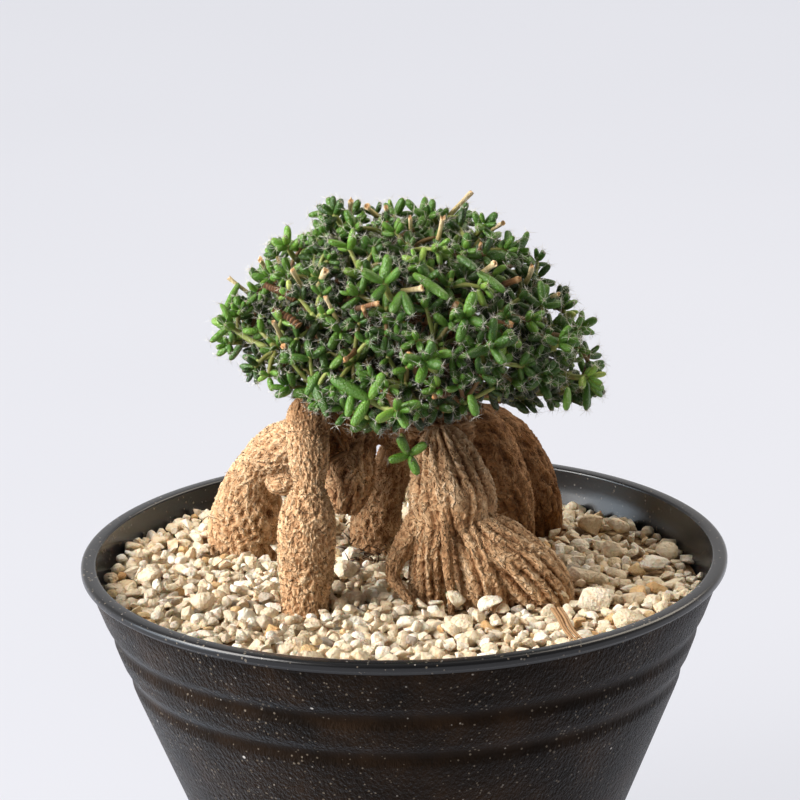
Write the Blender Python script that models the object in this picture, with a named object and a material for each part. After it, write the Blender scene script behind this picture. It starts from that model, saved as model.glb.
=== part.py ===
"""Bonsai of a tuberous-rooted succulent in a round pot dressed with pale gravel.

The origin is the middle of the pot's foot, with +Z up and the front at -Y.
Sizes are in millimetres, and the meshes are written in metres.
"""

import math
import random
from collections import namedtuple

import bmesh
import bpy
import numpy as np
from mathutils import Vector
from mathutils.bvhtree import BVHTree

MM = 0.001
GAP = 0.35  # left between pieces that touch
FILL_CLEARANCE = 0.45  # left between the fill and the pot's wall
HOLE_CLEARANCE = 0.5  # left round a root in the fill

# Pot
RIM_RADIUS = 75.0
RIM_WIDTH = 3.5
RIM_DROP = 2.9
EDGE_BEVEL = 0.6
POT_HEIGHT = 90.0
POT_SEGMENTS = 40
WALL = 1.9
LIP_BOTTOM = 84.0  # below here the wall tapers
MIDDLE_HEIGHT = 60.0
LOW_HEIGHT = 30.0
FOOT_EDGE = 2.4
# height above the foot and outer radius of the plain wall
WALL_LINE = [(87.1, 72.6), (LIP_BOTTOM, 72.3), (MIDDLE_HEIGHT, 63.6), (LOW_HEIGHT, 51.6), (FOOT_EDGE, 40.4)]
GROOVES = [(75.1, 0.7), (64.9, 0.6)]  # height and depth
GROOVE_HALF_WIDTH = 1.0
FOOT_RADIUS = 39.2
FOOT_WIDTH = 5.2
FOOT_RISE = 1.6
FLOOR_THICKNESS = 2.0
CENTRE_HOLE_RADIUS = 4.0
DRAIN_RADIUS = 3.0
DRAIN_CIRCLE = 20.0
DRAIN_COUNT = 4
DRAIN_SIDES = 8

# Fill
SOIL_TOP = 73.6
GRAVEL_BOTTOM = SOIL_TOP + GAP
GRAVEL_LEVEL = 84.0
GRAVEL_TILT = -0.025  # the dressing falls a little towards +X
GRAIN_PITCH = 8.0
GRAIN_SHIFT = 1.5
GRAIN_RISE = 1.5
GRAIN_DIP = 1.2
LOWEST_GRAIN = 0.4  # share of the full rise
SHALLOWEST_DIP = 0.5  # share of the full dip

# Root ends
ROOT_TIP = 52.0
ROOT_TIP_RADIUS = 1.2
ROOT_RADIUS = 3.6
PLUG_SIDES = 8  # of the hole round a root
RIDGE_DRAW = 0.3  # share of the ridge's height that varies at random

# Crown of shoots
DOME_CENTRE = Vector((1.0, 5.0, 126.0))
DOME_REACH = Vector((46.5, 42.5, 46.0))
RIGHT_EDGE = 1.0  # lowest elevation of a shoot's tip on the right, in degrees
LEFT_EDGE_RISE = 17.0  # how much higher it is on the left
DOME_CANDIDATES = 50
TIP_SPACING = 12.4
REACH_RANGE = (0.94, 1.02)  # share of the dome's reach
STEM_REACH = 0.52  # where a shoot's stem starts, as a share of the way to its tip
STEM_LEVELS = 5
STEM_BEND = 2.0
LEVEL_PITCH = 2.8
SHORTEST_BARE = 1.5  # of the stem below its first leaves
TIP_LEAF_REACH = 5.0
ROLL_A_SHOOT = 0.4  # radians from one shoot to the next
TWIG_HALF_WIDTH = 0.8
STEM_HALF_WIDTH = 0.76
BUD_HEIGHT = 1.0

# Leaves
LEAF_HALF_WIDTH = 1.05
LEAF_HALF_DEPTH = 0.9
LEAF_LENGTHS = [4.4, 5.2, 6.0, 6.6, 6.4]
LEAF_RISES = [14.0, 18.0, 24.0, 28.0, 52.0]  # degrees above a right angle to the stem
LEAF_SHOULDER = 0.72  # share of the length where a leaf is widest
LEAF_SHRINKS = (1.0, 0.85, 0.7)  # shares of the length tried where the way is not clear
LEAF_GAP = 0.75
LEAF_ROOT = 0.8  # of a leaf, not tested for clearance
LEAF_POINT = 0.6

# Twigs
NECK = Vector((-4.0, 7.0, 123.6))  # flat top of the woody neck
NECK_RADIUS = 3.6
TRUNK_TOP = Vector((-1.0, 6.5, 131.5))
HUB_RADIUS = 4.2
FORK_SHARE = 0.68  # of the way from the centre to the nearest twig end
FORK_HALF_LENGTH = 1.2
FORK_HALF_WIDTH = 1.3
ROLL_STEPS = 24
NEAR_REACH = 18.0
BANDS = [-90.0, 24.0, 52.0, 91.0]  # elevations in degrees
GROUP_START = 3.3  # azimuth in radians from which twigs are grouped
TWIGS_A_LIMB = 4
STALK_HALF_WIDTH = 0.6
TwigEnd = namedtuple("TwigEnd", "place axis half_width")

# Tips of the shoots that make the outline seen from the front
OUTLINE_TIPS = [
    (-43.0, 2.0, 144.0),
    (-38.5, 11.0, 154.0),
    (-30.0, 3.0, 160.0),
    (-17.5, 9.0, 172.5),
    (-3.0, 4.0, 172.0),
    (10.5, 10.0, 173.0),
    (25.0, 6.0, 165.0),
    (35.5, 11.0, 152.0),
    (44.5, 3.0, 142.0),
    (48.0, 8.0, 125.5),
    (35.0, -5.0, 125.5),
    (-30.0, -4.0, 134.5),
]
# Tips of the low shoots that fringe the dome's edge
FRINGE_TIPS = [
    (-19.0, -15.0, 127.0),
    (-8.0, -21.0, 125.5),
    (5.0, -22.0, 125.0),
    (17.0, -18.0, 124.5),
    (26.0, 16.0, 124.0),
    (8.0, 28.0, 125.0),
    (-12.0, 28.0, 126.0),
]
# The single rosette that hangs in front of the tubers
ROSETTE_BASE = Vector((0.0, -5.0, 119.5))
ROSETTE_TIP = Vector((1.2, -15.0, 115.2))

# Old flower stalks: tips of the cut straws
STALK_TIPS = [
    (16.5, 8.0, 172.0),
    (5.9, -0.2, 165.8),
    (-7.0, -12.4, 165.8),
    (-33.0, -8.0, 153.0),
    (-24.0, -16.0, 152.0),
    (3.0, -26.0, 157.0),
    (31.9, -9.3, 148.4),
    (-17.9, 29.7, 153.0),
    (22.0, 34.0, 146.0),
]


def linked(name, mesh):
    obj = bpy.data.objects.new(name, mesh)
    bpy.context.scene.collection.objects.link(obj)
    return obj


def solid(name, points, faces):
    """A closed object from points in millimetres, with its faces pointing out."""
    mesh = bpy.data.meshes.new(name)
    mesh.from_pydata([Vector(point) * MM for point in points], [], faces)
    shell = bmesh.new()
    shell.from_mesh(mesh)
    bmesh.ops.recalc_face_normals(shell, faces=shell.faces)
    shell.to_mesh(mesh)
    shell.free()
    return linked(name, mesh)


def ring_faces(ring_count, sides, joined):
    """Quads between rings of points, and either end caps or a strip back to the first ring."""
    faces = []
    for ring in range(ring_count if joined else ring_count - 1):
        after = (ring + 1) % ring_count
        for side in range(sides):
            beside = (side + 1) % sides
            corners = (ring, side), (ring, beside), (after, beside), (after, side)
            faces.append([row * sides + column for row, column in corners])
    if not joined:
        faces.append(list(range(sides))[::-1])
        faces.append([(ring_count - 1) * sides + side for side in range(sides)])
    return faces


def turned(name, profile, segments, joined):
    """The profile's radii and heights turned about the Z axis."""
    points = []
    for radius, height in profile:
        for segment in range(segments):
            angle = math.tau * segment / segments
            points.append((radius * math.cos(angle), radius * math.sin(angle), height))
    return solid(name, points, ring_faces(len(profile), segments, joined))


def loft(name, stations, sides, ridge=0.0, twist=0.0, across=(1, 0, 0), grow=0.0, seed=1):
    """A closed tube through stations of x, y, z, half width and half depth.

    Every second line of points stands out by the ridge's height, and twist turns the lines along
    the tube. With grow the tube is plain and wider by that much.
    """
    draw = random.Random(seed)
    centres = np.array(stations, float)[:, :3]
    tangents = np.gradient(centres, axis=0)
    points = []
    for index, (x, y, z, half_width, half_depth) in enumerate(stations):
        tangent = Vector(tangents[index]).normalized()
        side_axis = Vector(across)
        side_axis = (side_axis - tangent * side_axis.dot(tangent)).normalized()
        depth_axis = tangent.cross(side_axis)
        turn = twist * index / (len(stations) - 1)
        for side in range(sides):
            angle = math.tau * side / sides + turn
            stand = ridge * ((0.5 if side % 2 else -0.5) + draw.uniform(-RIDGE_DRAW, RIDGE_DRAW))
            across_flats = 1.0
            if grow:
                stand = grow + ridge * (0.5 + RIDGE_DRAW)
                across_flats = 1 / math.cos(math.pi / sides)
            wide = (half_width + stand) * across_flats
            deep = (half_depth + stand) * across_flats
            point = Vector((x, y, z)) + side_axis * math.cos(angle) * wide
            points.append(point + depth_axis * math.sin(angle) * deep)
    return solid(name, points, ring_faces(len(stations), sides, False))


def combine(base, others, operation):
    """Join the others to the base or cut them from it, and remove them."""
    group = bpy.data.collections.new("operands")
    bpy.context.scene.collection.children.link(group)
    for other in others:
        bpy.context.scene.collection.objects.unlink(other)
        group.objects.link(other)
    modifier = base.modifiers.new("combine", "BOOLEAN")
    modifier.operation = operation
    modifier.operand_type = "COLLECTION"
    modifier.collection = group
    modifier.solver = "EXACT"
    depsgraph = bpy.context.evaluated_depsgraph_get()
    mesh = bpy.data.meshes.new_from_object(base.evaluated_get(depsgraph))
    base.modifiers.clear()
    base.data = mesh
    for other in others:
        bpy.data.objects.remove(other)
    bpy.data.collections.remove(group)
    keep_main_body(base)


def keep_main_body(obj):
    """Keep the body with the most volume, so that scraps and sealed hollows go."""
    shell = bmesh.new()
    shell.from_mesh(obj.data)
    bmesh.ops.triangulate(shell, faces=shell.faces)
    bodies = []
    unseen = set(shell.faces)
    while unseen:
        body = set()
        front = [unseen.pop()]
        while front:
            face = front.pop()
            body.add(face)
            for edge in face.edges:
                for neighbour in edge.link_faces:
                    if neighbour in unseen:
                        unseen.discard(neighbour)
                        front.append(neighbour)
        bodies.append(body)
    largest = max(bodies, key=signed_volume)
    extra = [face for face in shell.faces if face not in largest]
    bmesh.ops.delete(shell, geom=extra, context="FACES")
    shell.to_mesh(obj.data)
    shell.free()


def signed_volume(faces):
    total = 0.0
    for face in faces:
        first, second, third = (corner.vert.co for corner in face.loops)
        total += first.dot(second.cross(third)) / 6
    return total


def finish(obj, colour, roughness, smooth_angle=None):
    """Give the object its own material and its shading."""
    surface = bpy.data.materials.new(obj.name)
    surface.use_nodes = True
    shader = surface.node_tree.nodes["Principled BSDF"]
    shader.inputs["Base Color"].default_value = (*colour, 1.0)
    shader.inputs["Roughness"].default_value = roughness
    shader.inputs["Metallic"].default_value = 0.0
    obj.data.materials.clear()
    obj.data.materials.append(surface)
    if smooth_angle:
        obj.data.shade_smooth()
        obj.data.set_sharp_from_angle(angle=math.radians(smooth_angle))
    return obj


def wall_radius(height):
    """Outer radius of the pot's plain wall at a height above the foot."""
    heights = [row[0] for row in WALL_LINE][::-1]
    radii = [row[1] for row in WALL_LINE][::-1]
    return float(np.interp(height, heights, radii))


def groove_profile(height, depth):
    upper = height + GROOVE_HALF_WIDTH
    lower = height - GROOVE_HALF_WIDTH
    bottom = wall_radius(height) - depth
    return [(wall_radius(upper), upper), (bottom, height), (wall_radius(lower), lower)]


def make_pot():
    rim_bottom = POT_HEIGHT - RIM_DROP
    floor_top = FOOT_RISE + FLOOR_THICKNESS
    outside = [
        (RIM_RADIUS - RIM_WIDTH, POT_HEIGHT),
        (RIM_RADIUS - EDGE_BEVEL, POT_HEIGHT),
        (RIM_RADIUS, POT_HEIGHT - EDGE_BEVEL),
        (RIM_RADIUS, rim_bottom + EDGE_BEVEL),
        (wall_radius(rim_bottom), rim_bottom),
        (wall_radius(LIP_BOTTOM), LIP_BOTTOM),
    ]
    for height, depth in GROOVES:
        outside += groove_profile(height, depth)
    foot = [
        (wall_radius(FOOT_EDGE), FOOT_EDGE),
        (FOOT_RADIUS, 0.0),
        (FOOT_RADIUS - FOOT_WIDTH, 0.0),
        (FOOT_RADIUS - FOOT_WIDTH - EDGE_BEVEL, FOOT_RISE),
        (CENTRE_HOLE_RADIUS, FOOT_RISE),
        (CENTRE_HOLE_RADIUS, floor_top),
    ]
    inside = []
    for height in (floor_top, MIDDLE_HEIGHT, LIP_BOTTOM):
        inside.append((wall_radius(height) - WALL, height))
    pot = turned("pot", outside + foot + inside, POT_SEGMENTS, True)
    drains = []
    for index in range(DRAIN_COUNT):
        angle = math.tau * index / DRAIN_COUNT
        x = DRAIN_CIRCLE * math.cos(angle)
        y = DRAIN_CIRCLE * math.sin(angle)
        rows = [(x, y, height, DRAIN_RADIUS, DRAIN_RADIUS) for height in (0.0, floor_top + FOOT_RISE)]
        drains.append(loft(f"drain_{index}", rows, DRAIN_SIDES))
    combine(pot, drains, "DIFFERENCE")
    return finish(pot, (0.02, 0.019, 0.018), 0.42, 35)


def rooted(stations):
    """The stations with a tapering root end below the first one."""
    x, y = stations[0][:2]
    tip = (x, y, ROOT_TIP, ROOT_TIP_RADIUS, ROOT_TIP_RADIUS)
    shoulder = (x, y, SOIL_TOP - 1.0, ROOT_RADIUS, ROOT_RADIUS)
    return [tip, shoulder] + stations


# The tubers, from the ground up: stations of x, y, z, half width and half depth
LEFT_BACK = rooted([
    (-38.6, 26.0, 80.0, 8.3, 8.0),
    (-38.4, 26.0, 86.0, 8.7, 8.4),
    (-37.6, 25.0, 92.5, 7.9, 7.8),
    (-37.0, 23.0, 98.3, 5.8, 6.2),
    (-35.6, 20.0, 102.8, 4.5, 5.0),
    (-32.4, 15.0, 108.2, 4.6, 5.0),
    (-28.2, 8.0, 113.2, 5.4, 5.4),
    (-23.9, 1.0, 117.2, 4.8, 4.8),
    (-21.2, -3.4, 120.2, 3.0, 3.0),
])
SIDE_LOBE = [
    (-31.8, 10.4, 104.8, 1.2, 1.2),
    (-29.1, 9.4, 103.8, 2.7, 2.8),
    (-26.3, 8.5, 105.3, 3.2, 3.2),
    (-24.2, 6.0, 109.3, 2.4, 2.4),
]
LEFT_FRONT = rooted([
    (-22.9, -18.0, 79.7, 4.6, 4.6),
    (-22.7, -18.5, 84.8, 5.0, 4.9),
    (-22.4, -17.5, 91.6, 5.8, 5.7),
    (-22.2, -16.5, 98.5, 6.5, 6.2),
    (-21.9, -15.0, 104.0, 6.2, 6.0),
    (-21.6, -13.2, 107.8, 4.4, 4.4),
    (-21.4, -12.0, 110.2, 3.3, 3.4),
    (-21.4, -10.5, 112.8, 4.1, 4.0),
    (-21.5, -8.6, 116.2, 4.7, 4.5),
    (-21.9, -6.0, 119.6, 4.2, 4.2),
    (-21.8, -4.0, 123.0, 4.2, 4.1),
    (-21.1, -2.4, 126.0, 3.6, 3.6),
    (-20.6, -1.4, 128.0, 1.8, 1.8),
])
KNOT = [
    (-8.6, 6.5, 117.0, 3.2, 3.2),
    (-11.3, 3.0, 112.4, 4.8, 4.6),
    (-12.6, 1.0, 107.0, 5.4, 5.0),
    (-13.4, 0.0, 102.6, 4.4, 4.2),
    (-13.8, 0.0, 100.0, 2.0, 2.0),
]
MIDDLE_BACK = rooted([
    (-7.1, 21.0, 80.0, 5.0, 5.0),
    (-7.0, 21.0, 86.0, 5.7, 5.6),
    (-6.4, 20.0, 92.0, 6.2, 5.8),
    (-4.9, 18.0, 98.0, 5.5, 5.2),
    (-2.4, 15.0, 105.0, 4.6, 4.6),
    (0.1, 12.0, 112.0, 4.4, 4.4),
    (1.0, 9.0, 116.5, 3.6, 3.6),
])
MIDDLE_BODY = [
    (10.2, 0.2, 118.0, 3.0, 3.0),
    (10.5, -0.4, 116.0, 5.4, 5.2),
    (10.8, -1.6, 112.6, 7.7, 7.2),
    (11.2, -3.2, 108.6, 9.3, 8.6),
    (11.6, -5.2, 103.0, 10.2, 9.6),
    (13.6, -8.0, 97.2, 10.0, 9.8),
    (18.4, -10.4, 92.2, 9.6, 9.6),
    (24.0, -12.0, 87.6, 9.6, 9.4),
    (28.4, -12.4, 83.6, 8.4, 8.2),
    (31.4, -12.4, 80.4, 5.6, 5.6),
]
FOOT_ROOT = rooted([
    (23.0, -12.0, 79.0, 5.4, 5.4),
    (22.0, -12.0, 88.0, 5.6, 5.6),
])
LEFT_FOOT = rooted([
    (4.7, -9.0, 80.0, 3.1, 3.1),
    (4.8, -9.8, 89.6, 3.5, 3.4),
    (5.4, -9.0, 95.4, 4.4, 4.2),
    (6.6, -7.0, 102.0, 5.0, 4.8),
])
SIDE_ROOT = [
    (2.2, -5.0, 104.0, 3.6, 3.6),
    (-0.6, -8.0, 98.6, 3.7, 3.4),
    (-3.2, -11.0, 93.8, 3.0, 2.8),
    (-4.4, -13.0, 90.6, 2.0, 2.0),
    (-3.0, -14.6, 87.0, 1.3, 1.3),
    (-0.4, -16.4, 83.6, 1.1, 1.1),
    (1.6, -17.6, 80.6, 0.8, 0.8),
]
RIGHT_INNER = rooted([
    (24.0, 26.6, 80.0, 6.8, 7.0),
    (23.6, 26.2, 90.0, 8.2, 8.0),
    (21.8, 25.0, 98.6, 8.0, 8.2),
    (19.6, 23.6, 106.0, 7.9, 8.0),
    (16.8, 21.4, 112.0, 7.0, 7.0),
    (13.8, 18.6, 115.6, 5.2, 5.2),
    (11.4, 15.6, 117.4, 3.0, 3.0),
])
RIGHT_OUTER = rooted([
    (32.8, 37.0, 79.6, 5.2, 5.4),
    (32.6, 36.6, 86.0, 5.6, 6.0),
    (31.3, 35.5, 91.6, 6.1, 6.6),
    (29.0, 33.6, 98.0, 6.5, 6.9),
    (25.6, 30.6, 105.2, 6.4, 6.6),
    (21.2, 27.0, 111.0, 5.6, 5.6),
    (16.6, 23.6, 114.6, 3.5, 3.5),
])
CROWN = [
    (-22.0, -2.6, 123.2, 3.0, 3.0),
    (-19.6, -0.6, 122.6, 4.0, 3.8),
    (-15.2, 4.0, 119.8, 4.4, 4.3),
    (-9.6, 7.4, 118.6, 4.6, 4.5),
    (-3.8, 8.4, 118.0, 4.8, 4.6),
    (3.2, 8.0, 116.4, 5.0, 5.0),
    (9.4, 8.6, 115.6, 5.6, 5.2),
    (14.0, 13.0, 115.0, 4.6, 4.6),
]
NECK_STATIONS = [
    (-4.0, 8.0, 115.0, NECK_RADIUS, NECK_RADIUS),
    (NECK.x, NECK.y, 120.0, NECK_RADIUS + 0.3, NECK_RADIUS + 0.3),
    (NECK.x, NECK.y, NECK.z, NECK_RADIUS, NECK_RADIUS),
]
# name, stations, sides, ridge height, twist in radians, axis across the tube
TUBERS = [
    ("left_back", LEFT_BACK, 16, 1.1, 0.9, (1, 0, 0)),
    ("side_lobe", SIDE_LOBE, 10, 0.4, 0.2, (0, 1, 0)),
    ("left_front", LEFT_FRONT, 16, 1.0, 0.5, (1, 0, 0)),
    ("knot", KNOT, 12, 0.6, 1.2, (1, 0, 0)),
    ("middle_back", MIDDLE_BACK, 12, 0.9, 0.6, (1, 0, 0)),
    ("middle_body", MIDDLE_BODY, 28, 1.4, 0.5, (0, 1, 0)),
    ("foot_root", FOOT_ROOT, 10, 0.0, 0.0, (1, 0, 0)),
    ("left_foot", LEFT_FOOT, 10, 0.6, 0.3, (1, 0, 0)),
    ("side_root", SIDE_ROOT, 8, 0.5, 0.6, (1, 0, 0)),
    ("right_inner", RIGHT_INNER, 18, 1.4, 0.7, (1, 0, 0)),
    ("right_outer", RIGHT_OUTER, 16, 1.3, 0.7, (1, 0, 0)),
    ("crown", CROWN, 10, 0.9, 0.4, (0, 1, 0)),
    ("neck", NECK_STATIONS, 8, 0.0, 0.0, (1, 0, 0)),
]
SOIL_ROOTS = [
    "left_back",
    "left_front",
    "middle_back",
    "foot_root",
    "left_foot",
    "right_inner",
    "right_outer",
]
GRAVEL_ROOTS = SOIL_ROOTS + ["middle_body", "side_root"]


def lengthened(stations, extra):
    """The stations with both ends moved out along the tube."""
    ends = []
    for end, inner in ((0, 1), (-1, -2)):
        outer = Vector(stations[end][:3])
        heading = (outer - Vector(stations[inner][:3])).normalized()
        ends.append((*(outer + heading * extra), *stations[end][3:]))
    return [ends[0]] + stations[1:-1] + [ends[1]]


def tuber(row, grow=0.0):
    name, stations, sides, ridge, twist, across = row
    if grow:
        sides = PLUG_SIDES
        stations = lengthened(stations, grow)
    return loft(name, stations, sides, ridge, twist, across, grow, seed=len(name) + sides)


def make_caudex():
    pieces = [tuber(row) for row in TUBERS]
    caudex = pieces[0]
    combine(caudex, pieces[1:], "UNION")
    caudex.name = "caudex"
    return finish(caudex, (0.46, 0.29, 0.15), 0.8, 30)


def plugs(names):
    """The plain, slightly wider shapes of the roots that pass through the fill."""
    return [tuber(row, HOLE_CLEARANCE) for row in TUBERS if row[0] in names]


def make_soil():
    bottom = FOOT_RISE + FLOOR_THICKNESS + GAP
    profile = []
    for height in (bottom, LOW_HEIGHT, MIDDLE_HEIGHT, SOIL_TOP):
        profile.append((wall_radius(height) - WALL - FILL_CLEARANCE, height))
    soil = turned("soil", profile, POT_SEGMENTS, False)
    combine(soil, plugs(SOIL_ROOTS), "DIFFERENCE")
    return finish(soil, (0.05, 0.035, 0.025), 0.95)


def gravel_height(x):
    return GRAVEL_LEVEL + GRAVEL_TILT * x


def grain_slab():
    """A slab wider than the pot whose top is raised into grains on a jittered six-sided grid."""
    draw = random.Random(11)
    row_pitch = GRAIN_PITCH * math.sqrt(3) / 2
    rows = math.ceil(RIM_RADIUS / row_pitch) + 1
    columns = math.ceil(RIM_RADIUS / GRAIN_PITCH) + 1
    centres = {}
    for row in range(-rows, rows + 1):
        for column in range(-columns, columns + 1):
            x = (column + 0.5 * (row % 2)) * GRAIN_PITCH + draw.uniform(-1, 1) * GRAIN_SHIFT
            y = row * row_pitch + draw.uniform(-1, 1) * GRAIN_SHIFT
            rise = draw.uniform(LOWEST_GRAIN, 1.0) * GRAIN_RISE
            centres[row, column] = Vector((x, y, gravel_height(x) + rise))
    points = []
    faces = []
    corner_index = {}

    def corner(cells):
        """The low point where three grains meet."""
        key = tuple(sorted(cells))
        if key not in corner_index:
            middle = sum((centres[cell] for cell in key), Vector()) / 3
            dip = draw.uniform(SHALLOWEST_DIP, 1.0) * GRAIN_DIP
            corner_index[key] = len(points)
            points.append(Vector((middle.x, middle.y, gravel_height(middle.x) - dip)))
        return corner_index[key]

    for (row, column), centre in centres.items():
        shift = row % 2
        around = [
            (row, column + 1),
            (row + 1, column + shift),
            (row + 1, column - 1 + shift),
            (row, column - 1),
            (row - 1, column - 1 + shift),
            (row - 1, column + shift),
        ]
        if any(cell not in centres for cell in around):
            continue
        corners = []
        for index, cell in enumerate(around):
            corners.append(corner([(row, column), cell, around[(index + 1) % 6]]))
        peak = len(points)
        points.append(centre)
        faces += [(peak, corners[index], corners[(index + 1) % 6]) for index in range(6)]
    return slab_below(points, faces)


def slab_below(points, faces):
    """Close the open surface with side walls and a flat bottom."""
    shell = bmesh.new()
    vertices = [shell.verts.new(point * MM) for point in points]
    for face in faces:
        shell.faces.new([vertices[index] for index in face])
    rim = [edge for edge in shell.edges if edge.is_boundary]
    walls = bmesh.ops.extrude_edge_only(shell, edges=rim)["geom"]
    for part in walls:
        if isinstance(part, bmesh.types.BMVert):
            part.co.z = GRAVEL_BOTTOM * MM
    low = [edge for edge in shell.edges if edge.is_boundary]
    bmesh.ops.contextual_create(shell, geom=low)
    bmesh.ops.recalc_face_normals(shell, faces=shell.faces)
    mesh = bpy.data.meshes.new("gravel")
    shell.to_mesh(mesh)
    shell.free()
    return linked("gravel", mesh)


def make_gravel():
    gravel = grain_slab()
    profile = []
    for height in (GRAVEL_BOTTOM - 2.0, POT_HEIGHT):
        profile.append((wall_radius(height) - WALL - FILL_CLEARANCE, height))
    combine(gravel, [turned("inside", profile, POT_SEGMENTS, False)], "INTERSECT")
    combine(gravel, plugs(GRAVEL_ROOTS), "DIFFERENCE")
    return finish(gravel, (0.72, 0.62, 0.46), 0.75)


def lowest_rise(azimuth):
    """Lowest elevation of the dome's edge in degrees: higher on the left than on the right."""
    leftness = max(0.0, -math.cos(azimuth))
    return RIGHT_EDGE + LEFT_EDGE_RISE * leftness**3


def dome_tips():
    """Shoot tips spread evenly over the dome, clear of the ones that make the outline."""
    draw = random.Random(5)
    tips = [Vector(tip) for tip in OUTLINE_TIPS]
    fringe = [Vector(tip) for tip in FRINGE_TIPS]
    golden = math.pi * (3 - math.sqrt(5))
    for index in range(DOME_CANDIDATES):
        share = (index + 0.5) / DOME_CANDIDATES
        azimuth = index * golden
        lowest = math.radians(lowest_rise(azimuth))
        rise = lowest + (math.pi / 2 - lowest) * math.asin(1 - share) / (math.pi / 2)
        share_of_reach = draw.uniform(*REACH_RANGE)
        offset = Vector((
            DOME_REACH.x * math.cos(rise) * math.cos(azimuth),
            DOME_REACH.y * math.cos(rise) * math.sin(azimuth),
            DOME_REACH.z * math.sin(rise),
        ))
        tip = DOME_CENTRE + offset * share_of_reach
        if min((tip - other).length for other in tips) > TIP_SPACING:
            tips.append(tip)
    return tips + fringe


class Crowd:
    """Points along the wood and leaves placed so far, each with the number of its owner."""

    def __init__(self):
        self.points = np.empty((0, 3))
        self.owners = np.empty(0, int)

    def add(self, points, owner):
        self.points = np.vstack([self.points, points])
        self.owners = np.append(self.owners, [owner] * len(points))

    def is_clear(self, points, owner, distance):
        others = self.points[self.owners != owner]
        if not len(others):
            return True
        apart = np.linalg.norm(others[None] - np.array(points)[:, None], axis=2)
        return apart.min() >= distance


def along(start, end, pitch=0.8):
    """Points every pitch from start to end."""
    count = max(2, math.ceil((end - start).length / pitch) + 1)
    return [start.lerp(end, index / (count - 1)) for index in range(count)]


def stem_frame(axis, roll=0.0):
    """Two directions square to the axis, turned by the roll."""
    guide = Vector((0, 0, 1)) if abs(axis.z) < 0.8 else Vector((0, 1, 0))
    first = (guide - axis * guide.dot(axis)).normalized()
    second = axis.cross(first)
    cosine = math.cos(roll)
    sine = math.sin(roll)
    return first * cosine + second * sine, second * cosine - first * sine


def square_ring(centre, axis, half_width, roll=0.0):
    first, second = stem_frame(axis, roll)
    signs = [(1, 1), (-1, 1), (-1, -1), (1, -1)]
    return [centre + (first * one + second * two) * half_width for one, two in signs]


class Shoot:
    """A leafy stem: its centres from the twig outward, and the leaves that grow from its sides."""

    def __init__(self, number, base, tip, levels=STEM_LEVELS, bend=STEM_BEND):
        self.number = number
        run = tip - base
        length = run.length - TIP_LEAF_REACH
        heading = run.normalized()
        levels = max(1, min(levels, int((length - SHORTEST_BARE) / LEVEL_PITCH)))
        self.levels = levels
        bare = length - levels * LEVEL_PITCH
        distances = [0.0] + [bare + level * LEVEL_PITCH for level in range(levels + 1)]
        lift = Vector((0, 0, bend)) * (1 - abs(heading.z))
        self.centres = []
        for distance in distances:
            share = distance / length
            self.centres.append(base + heading * distance + lift * share * (share - 1))
        self.points = []
        self.faces = []
        self.roll = ROLL_A_SHOOT * number

    def axis(self, ring):
        if ring == 0:
            return (self.centres[1] - self.centres[0]).normalized()
        return (self.centres[ring] - self.centres[ring - 1]).normalized()

    def stem_samples(self):
        samples = []
        for before, after in zip(self.centres, self.centres[1:]):
            samples += along(before, after)
        return samples

    def grow(self, crowd, wood):
        """Build the stem, with a leaf on each face where one fits."""
        for ring, centre in enumerate(self.centres):
            half_width = TWIG_HALF_WIDTH if ring < 2 else STEM_HALF_WIDTH
            self.points += square_ring(centre, self.axis(ring), half_width, self.roll)
        self.faces.append([3, 2, 1, 0])
        for side in range(4):
            self.faces.append([side, (side + 1) % 4, 4 + (side + 1) % 4, 4 + side])
        for level in range(self.levels):
            last = level == self.levels - 1
            for side in range(4):
                low = 4 * (level + 1)
                high = low + 4
                beside = (side + 1) % 4
                quad = [low + side, low + beside, high + beside, high + side]
                if last or side % 2 == level % 2:
                    self.leaf(quad, level, crowd, wood)
                else:
                    self.faces.append(quad)
        self.bud()

    def leaf(self, quad, level, crowd, wood):
        """Draw the quad out into a plump leaf, shorter where the way is not clear."""
        corners = [self.points[index] for index in quad]
        middle = sum(corners, Vector()) / 4
        axis = self.axis(level + 2)
        outward = middle - self.centres[level + 1].lerp(self.centres[level + 2], 0.5)
        outward = (outward - axis * outward.dot(axis)).normalized()
        step = level - self.levels + len(LEAF_RISES)
        rise = math.radians(LEAF_RISES[step])
        heading = outward * math.cos(rise) + axis * math.sin(rise)
        for shrink in LEAF_SHRINKS:
            length = LEAF_LENGTHS[step] * shrink
            path = along(middle + heading * LEAF_ROOT, middle + heading * (length - LEAF_POINT))
            apart = 2 * LEAF_HALF_WIDTH + LEAF_GAP
            if crowd.is_clear(path, self.number, apart) and wood_is_clear(wood, path):
                crowd.add(path, self.number)
                self.draw_leaf(quad, middle, heading, axis, length)
                return
        self.faces.append(quad)

    def draw_leaf(self, quad, middle, heading, axis, length):
        side_axis = (self.points[quad[1]] - self.points[quad[0]]).normalized()
        up = heading.cross(side_axis)
        if up.dot(axis) < 0:
            up = -up
        centre = middle + heading * length * LEAF_SHOULDER
        first = len(self.points)
        for one, two in ((-1, -1), (1, -1), (1, 1), (-1, 1)):
            offset = side_axis * one * LEAF_HALF_WIDTH + up * two * LEAF_HALF_DEPTH
            self.points.append(centre + offset)
        self.points.append(middle + heading * length)
        for corner in range(4):
            beside = (corner + 1) % 4
            self.faces.append([quad[corner], quad[beside], first + beside, first + corner])
            self.faces.append([first + corner, first + beside, first + 4])

    def bud(self):
        """Close the end of the stem with a small point."""
        last = 4 * (len(self.centres) - 1)
        peak = len(self.points)
        self.points.append(self.centres[-1] + self.axis(len(self.centres) - 1) * BUD_HEIGHT)
        for side in range(4):
            self.faces.append([last + side, last + (side + 1) % 4, peak])


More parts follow.
